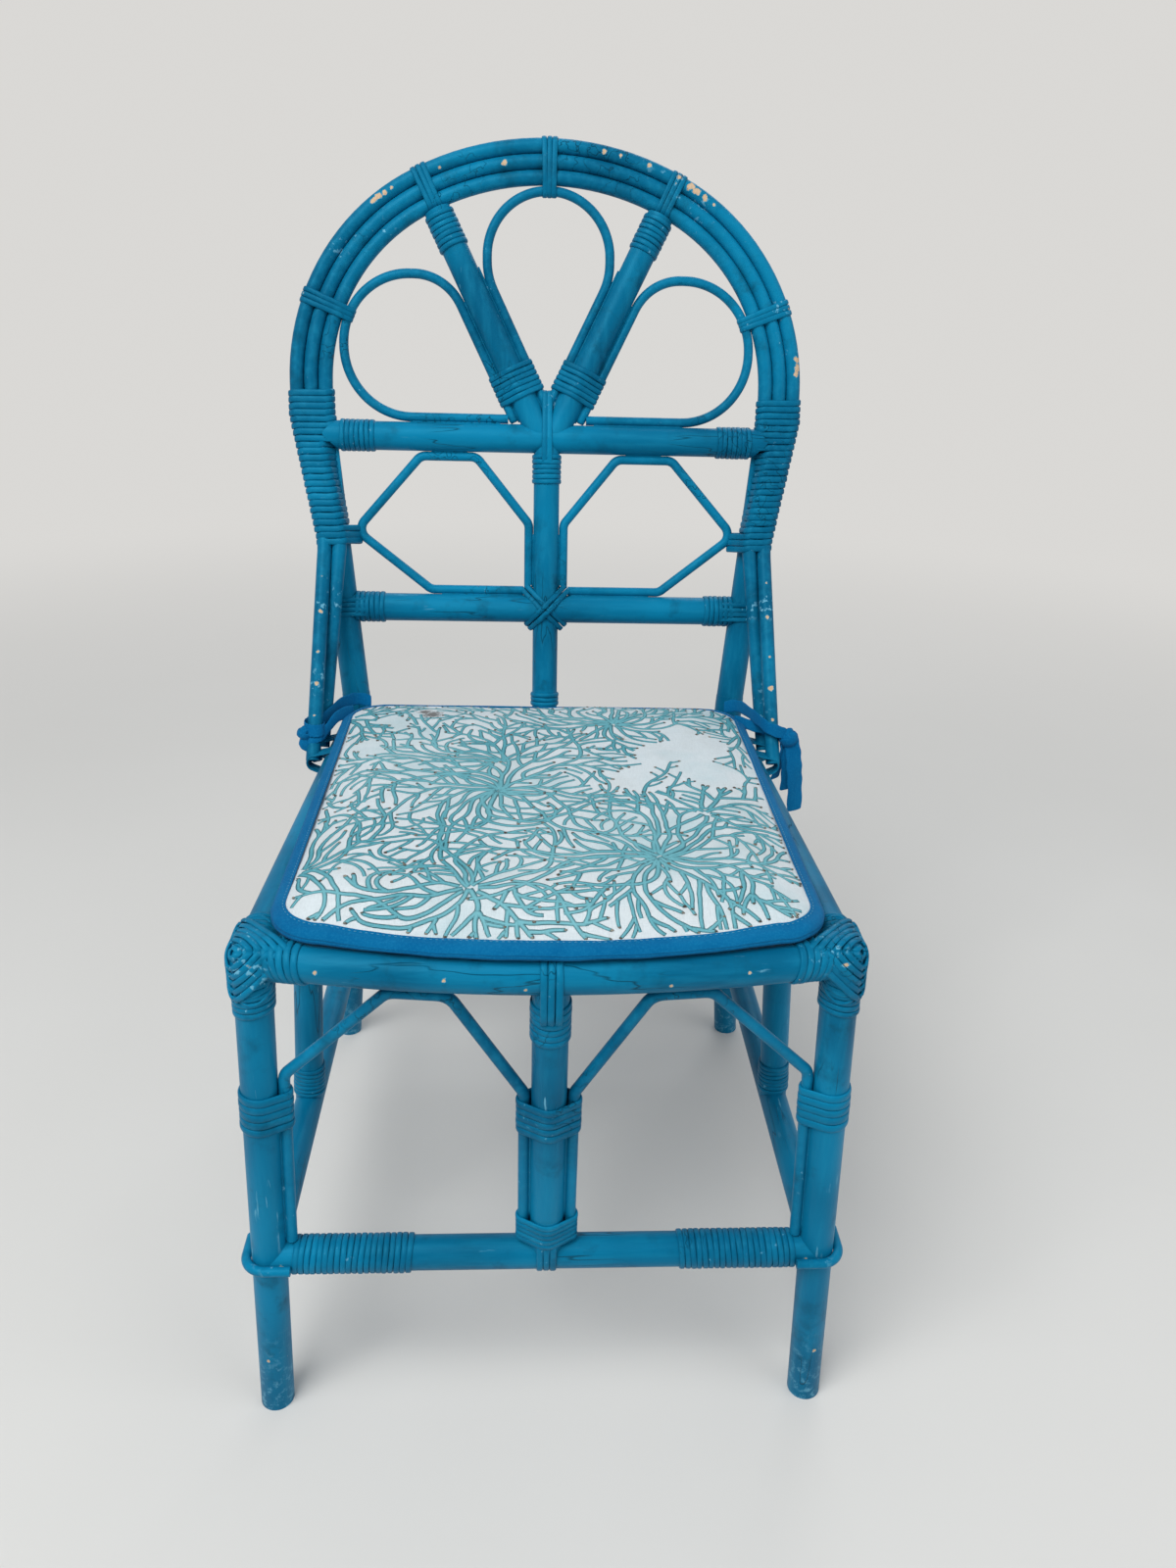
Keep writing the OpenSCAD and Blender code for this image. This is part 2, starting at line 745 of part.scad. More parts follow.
// Bands round a pole and the thin canes lying on one or both of its sides.
module band(low, high, r, sides) {
    wall = fit + binding_t;
    out = r + thin_r + 3 * fit;
    along(low, high) difference() {
        hull() {
            cylinder(h = norm(high - low), r = r + wall, $fn = 40);
            for (x = sides) translate([x * out, 0, 0]) cylinder(h = norm(high - low), r = thin_r + wall, $fn = 32);
        }
        translate([0, 0, -1]) cylinder(h = norm(high - low) + 2, r = r + 2 * fit);
        for (x = sides) translate([x * out, 0, -1]) cylinder(h = norm(high - low) + 2, r = thin_r + 2 * fit);
    }
}

post_binds = [[186, 210, 1], [305, 336, 1], [397, 431, 0]];

module front_post_bindings() {
    color(cord_paint) for (b = post_binds) difference() {
        if (b[2] == 1) rotate_band(b);
        else sleeve([0, post_y(b[0]), b[0]], [0, post_y(b[1]), b[1]], pole_r - 0.5);
        front_rail_solid(fit);
        front_stretcher_solid(fit);
    }
}

// The post leans in the YZ plane, so its bands are turned to keep their canes either side of it.
module rotate_band(b) {
    low = [0, post_y(b[0]), b[0]];
    high = [0, post_y(b[1]), b[1]];
    tilt = atan2(low.y - high.y, high.z - low.z);
    translate(low) rotate([tilt, 0, 0]) band([0, 0, 0], [0, 0, norm(high - low)], pole_r, [-1, 1]);
}

leg_bind = [302, 334];

module leg_bindings() {
    color(cord_paint) for (s = [-1, 1]) {
        low = leg_point(s, leg_bind[0]);
        high = leg_point(s, leg_bind[1]);
        tilt = atan2(high.x - low.x, high.z - low.z);
        translate(low) rotate([0, tilt, 0]) band([0, 0, 0], [0, 0, norm(high - low)], pole_r, [-s]);
    }
}

stretcher_bind = [20.5, 115];

module stretcher_bindings() {
    color(cord_paint) for (s = [-1, 1]) {
        leg = leg_point(s, stretcher_z);
        sleeve(leg - [s * stretcher_bind[1], 0, 0], leg - [s * stretcher_bind[0], 0, 0], pole_r);
    }
}

side_post_bind_z = 22;

module side_post_bindings() {
    color(cord_paint) for (s = [-1, 1]) {
        foot = side_post_foot(s);
        up = unit(side_post_head(s) - foot);
        difference() {
            sleeve(foot + up * 8, foot + up * (light_r + side_post_bind_z), light_r);
            side_stretcher_solid(s, fit);
        }
    }
}

module brace_bindings() {
    color(cord_paint) for (s = [-1, 1]) difference() {
        for (y = [brace_outer_y, brace_inner_y]) {
            a = [s * rail_x_at(y - 4), front_y + y - 4, seat_z];
            b = [s * rail_x_at(y + 8), front_y + y + 8, seat_z];
            sleeve(a, b, pole_r);
        }
        for (i = [0, 1]) arch_side_solid(s, i, fit);
        rear_pole_solid(s, fit);
    }
}

corner_run = 36;
corner_drop = 40;

module corner_lashing(s) {
    wrap = fit + binding_t;
    corner = leg_point(s, seat_z);
    color(cord_paint) difference() {
        union() {
            translate(corner) sphere(pole_r + wrap + joint_swell / 2);
            rod(leg_point(s, seat_z - corner_drop), corner, pole_r + wrap);
            rod(corner, [s * (front_half - corner_run), bow_y(front_half - corner_run), seat_z], pole_r + wrap);
            rod(corner, corner + unit(side_rail_rear(s) - corner) * corner_run, pole_r + wrap);
        }
        front_leg_solid(s, fit);
        front_rail_solid(fit);
        side_rail_solid(s, fit);
    }
}

// ---- cushion ----

cushion_z = rail_top_z + binding_t + 4 * fit;
function plan_corner(x, y) = [x, front_y + y];
cushion_front_r = 620;

// Plan outline of the cushion grown by a margin: straight sides and back, bowed front, round corners.
module cushion_plan(margin = 0) {
    half = cushion_half + margin;
    r = cushion_corner_r + margin;
    rear = cushion_rear_y + margin;
    front = -cushion_front - margin;
    sag = cushion_front_r - sqrt(pow(cushion_front_r, 2) - pow(cushion_half - cushion_corner_r, 2));
    corner_y = front + sag + r;
    translate([0, front_y]) {
        translate([-half, corner_y]) square([2 * half, rear - r - corner_y]);
        translate([r - half, rear - r - 1]) square([2 * (half - r), r + 1]);
        for (s = [-1, 1]) {
            translate([s * (half - r), rear - r]) circle(r);
            translate([s * (half - r), corner_y]) circle(r);
        }
        intersection() {
            translate([0, front + cushion_front_r + margin]) circle(cushion_front_r + margin, $fn = 180);
            translate([r - half, front]) square([2 * (half - r), corner_y + 1 - front]);
        }
    }
}

module seat_cushion() {
    color(linen) translate([0, 0, cushion_z]) linear_extrude(cushion_t) cushion_plan();
}

module cushion_piping() {
    color(trim) translate([0, 0, cushion_z + cushion_t - piping_d]) linear_extrude(piping_d) difference() {
        cushion_plan(piping_r + fit);
        cushion_plan(fit);
    }
}

tie_t = 3;
tie_z = cushion_z + cushion_t - piping_r;
knot_w = 17;

// The outer brace's axis at one height.
function brace_at(s, z) =
    let (p = arch_side_points(s, 0), t = (p[2].z - z) / (p[2].z - p[3].z))
    p[2] + t * (p[3] - p[2]);

module tie_strip(a, b) {
    hull() for (p = [a, b]) translate(p) cube([tie_t, tie_w, 2], center = true);
}

// Each tie reaches from the cushion's edge, goes round the outer brace and ends in a knot with two tails.
module cushion_tie(s, tail) {
    mid = brace_at(s, tie_z);
    wall_x = arch_r + tie_t / 2;
    reach = abs(mid.x) - wall_x - cushion_half - piping_d - 3 * fit;
    knot = mid + [s * (wall_x + knot_w / 2), 0, 0];
    color(trim) {
        sleeve(brace_at(s, tie_z - tie_w / 2), brace_at(s, tie_z + tie_w / 2), arch_r, tie_t);
        translate(knot) cube([knot_w, knot_w, knot_w], center = true);
        translate([s * (abs(mid.x) - wall_x - reach / 2), mid.y, tie_z]) cube([reach, tie_w - 3, tie_t], center = true);
        tie_strip(knot + [s, -3, -6], knot + [s * 4, -12, -tail]);
        tie_strip(knot + [s, 3, -6], knot + [s * 2, 14, -tail * 0.8]);
    }
}

front_leg(-1);  // front_leg_left
front_leg(1);  // front_leg_right
rear_pole(-1);  // rear_pole_left
rear_pole(1);  // rear_pole_right
front_seat_rail();
side_seat_rail(-1);  // side_seat_rail_left
side_seat_rail(1);  // side_seat_rail_right
rear_seat_rail();
seat_slats();
front_stretcher();
side_stretcher(-1);  // side_stretcher_left
side_stretcher(1);  // side_stretcher_right
rear_stretcher();
front_post();
side_post(-1);  // side_post_left
side_post(1);  // side_post_right
upper_back_rail();
lower_back_rail();
back_post();
fan_spoke(-1);  // fan_spoke_left
fan_spoke(1);  // fan_spoke_right
arch_cane(0);  // outer_arch_cane
arch_cane(1);  // middle_arch_cane
arch_cane(2);  // inner_arch_cane
centre_petal_cane();
side_petal_cane(-1);  // left_petal_cane
side_petal_cane(1);  // right_petal_cane
lattice_cane(-1);  // left_lattice_cane
lattice_cane(1);  // right_lattice_cane
apron_cane(-1);  // left_apron_cane
apron_cane(1);  // right_apron_cane
leg_loop(-1);  // leg_loop_left
leg_loop(1);  // leg_loop_right
back_binding(-1);  // back_binding_left
back_binding(1);  // back_binding_right
arch_straps();
spoke_bindings();
upper_rail_bindings();
lower_rail_bindings();
back_post_bindings();
front_post_bindings();
leg_bindings();
stretcher_bindings();
side_post_bindings();
brace_bindings();
corner_lashing(-1);  // corner_lashing_left
corner_lashing(1);  // corner_lashing_right
seat_cushion();
cushion_piping();
cushion_tie(-1, 20);  // cushion_tie_left
cushion_tie(1, 78);  // cushion_tie_right
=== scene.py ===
"""Finishes of the painted rattan chair: cane wrappings, worn paint, cushion and ties, on its frame."""

import math
import random

import bmesh
import bpy
from mathutils import Matrix, Vector, noise
from mathutils.bvhtree import BVHTree


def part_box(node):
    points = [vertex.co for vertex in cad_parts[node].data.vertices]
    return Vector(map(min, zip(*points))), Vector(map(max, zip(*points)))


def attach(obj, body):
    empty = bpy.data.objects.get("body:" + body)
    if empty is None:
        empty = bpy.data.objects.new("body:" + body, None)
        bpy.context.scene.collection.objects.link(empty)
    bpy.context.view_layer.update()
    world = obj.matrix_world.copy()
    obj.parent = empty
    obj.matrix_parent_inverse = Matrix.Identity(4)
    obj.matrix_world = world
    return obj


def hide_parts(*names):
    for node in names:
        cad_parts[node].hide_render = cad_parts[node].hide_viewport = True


bl_info = {
    "name": "Painted Rattan Chair",
    "version": (1, 0, 0),
    "blender": (4, 5, 0),
    "location": "3D View > Sidebar > Rattan Chair",
    "description": "Cane wrappings, peeling paint, print cushion and ties for a painted rattan dining chair",
    "category": "Add Mesh",
}

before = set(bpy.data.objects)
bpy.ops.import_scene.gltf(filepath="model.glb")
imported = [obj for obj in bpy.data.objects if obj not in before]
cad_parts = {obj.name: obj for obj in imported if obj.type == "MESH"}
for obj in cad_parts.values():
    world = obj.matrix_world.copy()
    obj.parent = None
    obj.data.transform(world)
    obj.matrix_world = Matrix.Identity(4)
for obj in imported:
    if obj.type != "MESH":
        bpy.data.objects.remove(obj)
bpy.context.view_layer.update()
MM = 0.001
BACKDROP = (0.70, 0.69, 0.67, 1)


# ---- where the frame's poles and canes run, in millimetres ----

def middle_y(node):
    low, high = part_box(node)
    return 1000 * (low.y + high.y) / 2


FRONT_Y = middle_y("front_leg_left")
LEAN = math.radians(12)
SEAT_Z, SEAT_DEPTH, STRETCHER_Z = 452, 443, 166.5
# half the thickness of each kind of pole and cane
POLE, LIGHT, POST, SPOKE, ARCH, THIN = 14, 13, 13.5, 13, 7, 4.5
# the back's rails, as heights up the back
UPPER_RAIL, LOWER_RAIL = 296, 126
# the arch: radii of its top and shoulders, half its width, and where it leaves its straight sides
ARCH_TOP, ARCH_SHOULDER, ARCH_HALF, SPRING, KNEE = 292.6, 220, 255, 345, 315
# where the arch canes part as braces, how far forward they are there, and their spacing
SCARF, SCARF_W, PITCH = 196, 20, 14.1
SHOULDER_X = ARCH_HALF - ARCH_SHOULDER
ARCH_CENTRE = SPRING - math.sqrt((ARCH_TOP - ARCH_SHOULDER) ** 2 - SHOULDER_X ** 2)
# the spokes: how far out they go for each step up, and where their lines meet
SLOPE, MEET = 0.488, 285
SPOKE_STEP = (SPOKE + THIN + 0.2) * math.sqrt(1 + SLOPE * SLOPE)
# radii of the cushion's corners and of its bowed front edge
CUSHION_CORNER, CUSHION_BOW = 42, 620
# half the width of the paint that lies in a joint, and the wrapping template's radius
BEAD, HOOP = 1.5, 10

LEFT, RIGHT = -1, 1
ACROSS = Vector((1, 0, 0))
BACK_UP = Vector((0, math.sin(LEAN), math.cos(LEAN)))
BACK_OUT = Vector((0, -math.cos(LEAN), math.sin(LEAN)))


def back_point(x, v, w=0.0):
    """A point on the leaning back: x across, v up the back, w forward of its plane."""
    return Vector((0, FRONT_Y + SEAT_DEPTH, SEAT_Z)) + x * ACROSS + v * BACK_UP + w * BACK_OUT


def leg_point(side, z):
    """A point on a front leg's line, which leans outward towards the floor."""
    return Vector((side * (214 + 17.5 * (1 - z / SEAT_Z)), FRONT_Y, z))


def flare(v):
    """How far out a rear pole's line lies at a height up the back."""
    return 194 + 0.102 * v


def spoke_x(v):
    """How far out a fan spoke's line lies at a height up the back."""
    return SLOPE * (v - MEET)


def rail_x(y):
    """How far out a side seat rail's line lies, y behind the front legs."""
    return 214 - 14 * y / SEAT_DEPTH


def bow_y(x):
    """Where the bowed front seat rail's line lies in depth."""
    return FRONT_Y - 24 * (1 - (x / 214) ** 2)


def post_y(z):
    """Where the front centre post's line lies in depth, as it leans from stretcher to rail."""
    return FRONT_Y - 24 * (z - STRETCHER_Z) / (SEAT_Z - STRETCHER_Z)


def cane_at(i, v):
    """Across and forward places of an arch cane on its way down one side, outer cane first."""
    top = ARCH_HALF - ARCH - i * PITCH
    foot = flare(SCARF) + (0.5 - i) * PITCH * 1.08
    t = min(1, max(0, (KNEE - v) / (KNEE - SCARF)))
    return top + t * (foot - top), t * SCARF_W


def brace_line(side, i):
    """The top and foot of a brace, outer brace first."""
    y = 345 if i == 0 else 380
    x, w = cane_at(i, SCARF)
    foot = Vector((side * (rail_x(y) + 21.5 + (2.5 if i == 0 else 0)), FRONT_Y + y, SEAT_Z + 3))
    return back_point(side * x, SCARF, w), foot


# ---- mesh helpers ----

def finish_piece(name, bm, material, replaces=()):
    """Turns a bmesh in millimetres into a piece that rides on the chair."""
    bmesh.ops.scale(bm, vec=(MM, MM, MM), verts=bm.verts)
    bmesh.ops.recalc_face_normals(bm, faces=bm.faces)
    mesh = bpy.data.meshes.new(name)
    bm.to_mesh(mesh)
    bm.free()
    mesh.shade_smooth()
    mesh.materials.append(material)
    piece = bpy.data.objects.new(name, mesh)
    bpy.context.scene.collection.objects.link(piece)
    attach(piece, "root")
    if replaces:
        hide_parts(*replaces)
    return piece


def smoothed(piece, levels):
    """Rounds a piece off with a subdivision modifier."""
    smooth = piece.modifiers.new("smooth", "SUBSURF")
    smooth.levels = smooth.render_levels = levels


def applied(piece, name):
    """Makes one of a piece's modifiers part of its mesh."""
    bpy.context.view_layer.objects.active = piece
    bpy.ops.object.modifier_apply(modifier=name)


def strands(runs, rounds):
    """A bmesh of round strands, each given as points and the radius at every point."""
    line = bpy.data.curves.new("strands", "CURVE")
    line.dimensions, line.bevel_depth, line.bevel_resolution, line.use_fill_caps = "3D", 1.0, rounds, True
    for points, radii in runs:
        spline = line.splines.new("POLY")
        spline.points.add(len(points) - 1)
        for knot, point, radius in zip(spline.points, points, radii):
            knot.co = (*point, 1)
            knot.radius = radius
    holder = bpy.data.objects.new("strands", line)
    bpy.context.scene.collection.objects.link(holder)
    ready = bpy.context.evaluated_depsgraph_get()
    mesh = bpy.data.meshes.new_from_object(holder.evaluated_get(ready))
    bm = bmesh.new()
    bm.from_mesh(mesh)
    bmesh.ops.remove_doubles(bm, verts=bm.verts, dist=0.001)
    bpy.data.objects.remove(holder)
    bpy.data.curves.remove(line)
    bpy.data.meshes.remove(mesh)
    return bm


def frame_at(origin, axis, across):
    """A placement whose Z runs along axis and whose X is as near across as it can be."""
    z = axis.normalized()
    x = (across - across.dot(z) * z).normalized()
    return Matrix.Translation(origin) @ Matrix((x, z.cross(x), z)).transposed().to_4x4()


class Wrapping:
    """Turns of flat split cane, each one a closed band drawn tight round a bundle of round members."""

    def __init__(self, name, seed, steps=40):
        self.name = name
        self.random = random.Random(seed)
        self.bm = bmesh.new()
        self.turn = self.bm.verts.layers.float.new("turn")
        self.along = self.bm.verts.layers.float.new("along")
        self.steps = steps
        self.template = self.make_template()

    def make_template(self):
        """A band of HOOP radius: its section is a flat oval, one unit wide and one thick."""
        bm = bmesh.new()
        section = bmesh.ops.create_circle(bm, segments=10, radius=0.5)["verts"]
        bmesh.ops.rotate(bm, verts=section, matrix=Matrix.Rotation(math.pi / 2, 3, "X"))
        for vert in section:
            # a squarer oval: flat on its broad faces, round at its edges
            vert.co.z = 0.5 * math.copysign(abs(2 * vert.co.z) ** 0.7, vert.co.z)
        bmesh.ops.translate(bm, verts=section, vec=(HOOP, 0, 0))
        bmesh.ops.spin(bm, geom=bm.edges[:], cent=(0, 0, 0), axis=(0, 0, 1), angle=2 * math.pi,
                       steps=self.steps, use_merge=True)
        mesh = bpy.data.meshes.new("band")
        bm.to_mesh(mesh)
        bm.free()
        return mesh

    def add(self, place, members, width=5.4, thick=2.4, tilt=0.0, sink=0.25, phase=0.0, shows=None):
        """One turn. members are (across, over, radius) in the plane the band lies in, and a member cut on the
        slant has its longer half across as a fourth number. shows(point) is below 1 where the band passes
        under others."""
        first = len(self.bm.verts)
        self.bm.from_mesh(self.template)
        self.bm.verts.ensure_lookup_table()
        turn, wave = self.random.random(), self.random.uniform(0, 6.3)
        wide, deep = width * self.random.uniform(0.94, 1.05), thick * self.random.uniform(0.9, 1.1)
        for vert in self.bm.verts[first:]:
            angle = math.atan2(vert.co.y, vert.co.x)
            out = (math.hypot(vert.co.x, vert.co.y) - HOOP) * deep + deep * (0.5 - sink)
            normal = Vector((math.cos(angle), math.sin(angle)))
            x, y = self.outline(members, normal)
            z = vert.co.z * wide + tilt * math.sin(angle + phase) + 0.25 * math.sin(2 * angle + wave)
            if shows:
                under = 1 - shows(place @ Vector((x, y, z)))
                out -= under * (deep + 1.2)
            vert.co = place @ Vector((x + out * normal.x, y + out * normal.y, z))
            vert[self.turn] = turn
            vert[self.along] = angle / (2 * math.pi) + 0.5

    def outline(self, members, normal):
        """The point of a tight band's path that faces along normal."""
        best, found = None, None
        for across, over, radius, *slant in members:
            wide = slant[0] if slant else radius
            reach = math.hypot(wide * normal.x, radius * normal.y)
            if best is None or across * normal.x + over * normal.y + reach > best:
                best = across * normal.x + over * normal.y + reach
                found = (across + wide * wide * normal.x / reach, over + radius * radius * normal.y / reach)
        return found

    def run(self, start, end, across, members, turns, **shape):
        """Turns side by side from start to end; members may be a function of the place along."""
        step = (end - start) / turns
        width = step.length * 0.99
        for n in range(turns):
            middle = start + step * (n + 0.5)
            now = members((n + 0.5) / turns) if callable(members) else members
            self.add(frame_at(middle, step, across), now, width=width, **shape)

    def finish(self, material, *replaces):
        bpy.data.meshes.remove(self.template)
        return finish_piece(self.name, self.bm, material, replaces)


# ---- material helpers ----

class Nodes:
    """Short names for the nodes that the finishes are made of."""

    def __init__(self, name):
        self.material = bpy.data.materials.get(name) or bpy.data.materials.new(name)
        self.material.use_nodes = True
        self.tree = self.material.node_tree
        self.tree.nodes.clear()
        self.out = self.add("ShaderNodeOutputMaterial")
        self.shader = self.add("ShaderNodeBsdfPrincipled")
        self.link(self.shader.outputs[0], self.out.inputs["Surface"])
        self.place = self.add("ShaderNodeTexCoord").outputs["Object"]

    def link(self, source, target):
        self.tree.links.new(source, target)

    def add(self, kind, inputs=None, **settings):
        node = self.tree.nodes.new(kind)
        for key, value in settings.items():
            setattr(node, key, value)
        for key, value in (inputs or {}).items():
            if isinstance(value, bpy.types.NodeSocket):
                self.link(value, node.inputs[key])
            else:
                node.inputs[key].default_value = value
        return node

    def scaled(self, scale, vector=None):
        return self.add("ShaderNodeMapping", {"Vector": vector or self.place, "Scale": scale}).outputs[0]

    def noise(self, scale, detail=3.0, rough=0.55, vector=None):
        return self.add("ShaderNodeTexNoise", {"Vector": vector or self.place, "Scale": scale,
                                               "Detail": detail, "Roughness": rough}).outputs[0]

    def math(self, kind, a, b=0.0, clamp=False):
        return self.add("ShaderNodeMath", {0: a, 1: b}, operation=kind, use_clamp=clamp).outputs[0]

    def times(self, a, b):
        return self.math("MULTIPLY", a, b)

    def plus(self, a, b):
        return self.math("ADD", a, b)

    def span(self, value, low, high, to_low=0.0, to_high=1.0):
        return self.add("ShaderNodeMapRange", {"Value": value, "From Min": low, "From Max": high,
                                               "To Min": to_low, "To Max": to_high}).outputs[0]

    def mix(self, share, a, b):
        return self.add("ShaderNodeMix", {0: share, 6: a, 7: b}, data_type="RGBA").outputs[2]

    def coat(self, base, colour, share, strength):
        """Lays a colour over another where share is high, at most as thick as strength."""
        return self.mix(self.times(share, strength), base, colour)

    def attribute(self, name):
        return self.add("ShaderNodeAttribute", attribute_name=name).outputs["Fac"]

    def near(self, spots):
        """How near a point is to any of some places, each an (x, y, z, radius) in metres: 1 on it, 0 away."""
        best = None
        for x, y, z, radius in spots:
            away = self.add("ShaderNodeVectorMath", {0: self.place, 1: (x, y, z)}, operation="DISTANCE")
            here = self.span(away.outputs["Value"], 0.0, radius, 1.0, 0.0)
            best = here if best is None else self.math("MAXIMUM", best, here)
        return best

    def bump(self, height, distance, strength=1.0, normal=None):
        inputs = {"Height": height, "Distance": distance, "Strength": strength}
        if normal:
            inputs["Normal"] = normal
        return self.add("ShaderNodeBump", inputs).outputs[0]

    def surface(self, colour, rough, normal):
        self.link(colour, self.shader.inputs["Base Color"])
        self.link(rough, self.shader.inputs["Roughness"])
        self.link(normal, self.shader.inputs["Normal"])
        return self.material


def spot(point, radius):
    """A place and a radius in millimetres, turned into metres."""
    return (*(point * MM), radius * MM)


def leg_spots(side, places):
    """Spots by a front leg: each a height up it, how far inward, forward and up from there, and a radius."""
    return [spot(leg_point(side, z) + Vector((-side * inward, -forward, up)), radius)
            for z, inward, forward, up, radius in places]


def rubbed_places():
    """Places where handling has scuffed the paint pale."""
    back = ((-160, 510, 40), (-40, 562, 34), (85, 555, 44), (145, 527, 40), (247, 372, 30),
            (232, 432, 30), (-240, 418, 26), (-205, 470, 24), (3, 330, 16))
    found = [spot(back_point(x, v), radius) for x, v, radius in back]
    for side in (LEFT, RIGHT):
        found += leg_spots(side, ((SEAT_Z, 0, 12, 6, 46), (STRETCHER_Z, -6, 18, 2, 26), (236, -4, 13, 0, 30)))
        found.append(spot(Vector((side * 150, bow_y(150) - 8, SEAT_Z + 8)), 34))
        top, foot = brace_line(side, 0)
        found += [spot(top.lerp(foot, share), 44) for share in (0.30, 0.70)]
    return found


def chipped_places():
    """Chips where the paint has come away to bare cane, each a place and a rough radius."""
    arch = ((-168, 512, 7, 6), (-163, 516, 7, 6), (-158, 519, 7, 5), (-151, 524, 7, 3.5),
            (-43, 549.5, 7, 5), (126, 542, 11, 7), (122, 535, 11, 4.5), (137, 533, 7, 7),
            (143, 529.5, 7, 6), (151, 523.5, 7, 5.5), (160, 518, 7, 3), (250, 377, 6, 7),
            (250, 370, 6, 7), (249, 364, 6, 5), (248, 400, 7, 3), (240, 425, 7, 3),
            (-243, 415, 7, 3.5), (-239, 427, 7, 3), (52, 562, 7, 4), (68, 559, 7, 3.5),
            (96, 551, 7, 4), (-105, 543, 7, 3))
    found = [spot(back_point(x, v, w), radius) for x, v, w, radius in arch]
    bow = ((-75, 3, 3.2), (-165, 2, 3), (-18, -3, 2.5), (84, -2, 3.0), (140, 4, 2.6))
    found += [spot(Vector((x, bow_y(x) - 13, SEAT_Z + up)), radius) for x, up, radius in bow]
    for side, corner in ((LEFT, 3.5), (RIGHT, 5)):
        found += leg_spots(side, ((SEAT_Z, 2, 16, 4, 4.5), (SEAT_Z, 20, 16, 3, corner),
                                  (STRETCHER_Z, 12, 16, 2, 4), (60, -3, 14, 0, 3)))
        top, foot = brace_line(side, 0)
        for share, radius in ((0.18, 2.5), (0.34, 4), (0.52, 3), (0.66, 5), (0.80, 3)):
            found.append(spot(top.lerp(foot, share) + Vector((0, -6, 2)), radius))
    return found


def painted_cane(name, colours, grain=(1, 1, 1), turns=False):
    """Blue paint over cane: chalky, scuffed, grimy in the hollows and chipped through to the cane."""
    n = Nodes(name)
    along = n.scaled(grain)
    worn = n.near(rubbed_places())
    # the paint: clouds of thick and thin, with chalky streaks along the grain
    base = n.mix(n.span(n.noise(7, 2), 0.35, 0.68), colours.deep, colours.bright)
    base = n.coat(base, colours.chalk, n.span(n.noise(120, 3, 0.6, along), 0.45, 0.75), 0.35)
    if turns:
        # every turn of wrapping has its own shade, and fibres that run along it
        turn = n.attribute("turn")
        base = n.coat(base, colours.deep, turn, 0.45)
        lie = n.add("ShaderNodeCombineXYZ", {0: n.attribute("along"), 1: turn}).outputs[0]
        fibre = n.add("ShaderNodeTexNoise", {"Vector": n.scaled((2, 2, 500), lie), "Scale": 3}).outputs[0]
        base = n.coat(base, colours.chalk, n.span(fibre, 0.5, 0.7), 0.15)
    # dirt, pale scuffs where hands and shoes rub, and worn feet
    grime = n.times(n.span(n.noise(38, 4, 0.65), 0.52, 0.78), n.span(n.noise(11, 2), 0.35, 0.62))
    base = n.coat(base, colours.grime, grime, 0.75)
    scuffs = n.plus(n.noise(170, 4, 0.6, along), n.times(worn, 0.13))
    scuff = n.times(n.span(scuffs, 0.675, 0.72), n.span(n.noise(23, 2), 0.46, 0.6))
    base = n.coat(base, colours.scuff, scuff, 0.75)
    low = n.add("ShaderNodeSeparateXYZ", {0: n.place}).outputs["Z"]
    foot = n.times(n.span(low, 0.0, 0.10, 1.0, 0.0), n.span(n.noise(130, 5, 0.7), 0.52, 0.64))
    base = n.coat(base, colours.scuff, foot, 0.55)
    # hair cracks: the thin line where a noise crosses its middle
    middle = n.noise(75, 2, 0.5, along)
    hair = n.times(n.span(middle, 0.50, 0.512), n.span(middle, 0.512, 0.524, 1.0, 0.0))
    crack = n.times(hair, n.span(n.noise(9, 2), 0.56, 0.62))
    base = n.coat(base, colours.grime, crack, 0.8)
    # chips: chosen places with ragged edges and pale rims, and a few stray ones
    ragged = n.span(n.noise(210, 4, 0.6), 0.2, 0.8, -0.42, 0.42)
    chips = n.plus(n.near(chipped_places()), ragged)
    stray = n.plus(n.noise(95, 4, 0.6), n.times(worn, 0.05))
    chip = n.math("MAXIMUM", n.span(chips, 0.50, 0.54), n.span(stray, 0.775, 0.785))
    rim = n.math("SUBTRACT", n.span(chips, 0.40, 0.44), chip, True)
    base = n.coat(base, colours.scuff, rim, 0.6)
    wood = n.mix(n.noise(500, 3, 0.6), colours.cane, colours.cane_dark)
    colour = n.mix(chip, base, wood)
    rough = n.span(n.plus(chip, n.times(scuff, 0.4)), 0.0, 1.0, 0.42, 0.85)
    # relief: fine grain, brush lumps, and the steps down into chips and cracks
    fine = n.bump(n.noise(900, 2, 0.6, along), 0.00025, 0.6)
    lumps = n.bump(n.noise(60, 3, 0.5, along), 0.0016, 0.35, fine)
    edge = n.bump(n.math("SUBTRACT", 1.0, n.math("MAXIMUM", chip, crack)), 0.0006, 0.9, lumps)
    n.shader.inputs["Specular IOR Level"].default_value = 0.22
    n.shader.inputs["Specular Tint"].default_value = (0.15, 0.75, 1.0, 1)
    return n.surface(colour, rough, edge)


# ---- sizes and colours ----

def colour_property(name, description, value):
    return bpy.props.FloatVectorProperty(name=name, description=description, subtype="COLOR", size=4,
                                         min=0, max=1, default=value)


def length_property(name, description, value, low, high):
    return bpy.props.FloatProperty(name=name, description=description, default=value, min=low, max=high,
                                   subtype="DISTANCE", unit="LENGTH")


class RattanSizes(bpy.types.PropertyGroup):
    cushion_crown: length_property("Cushion crown", "How far the cushion's middle swells", 0.006, 0, 0.02)
    bias_width: length_property("Edging width", "Width of the cushion's blue edging", 0.0108, 0.009, 0.02)
    tie_width: length_property("Tie width", "Width of the cushion's ties", 0.015, 0.006, 0.02)


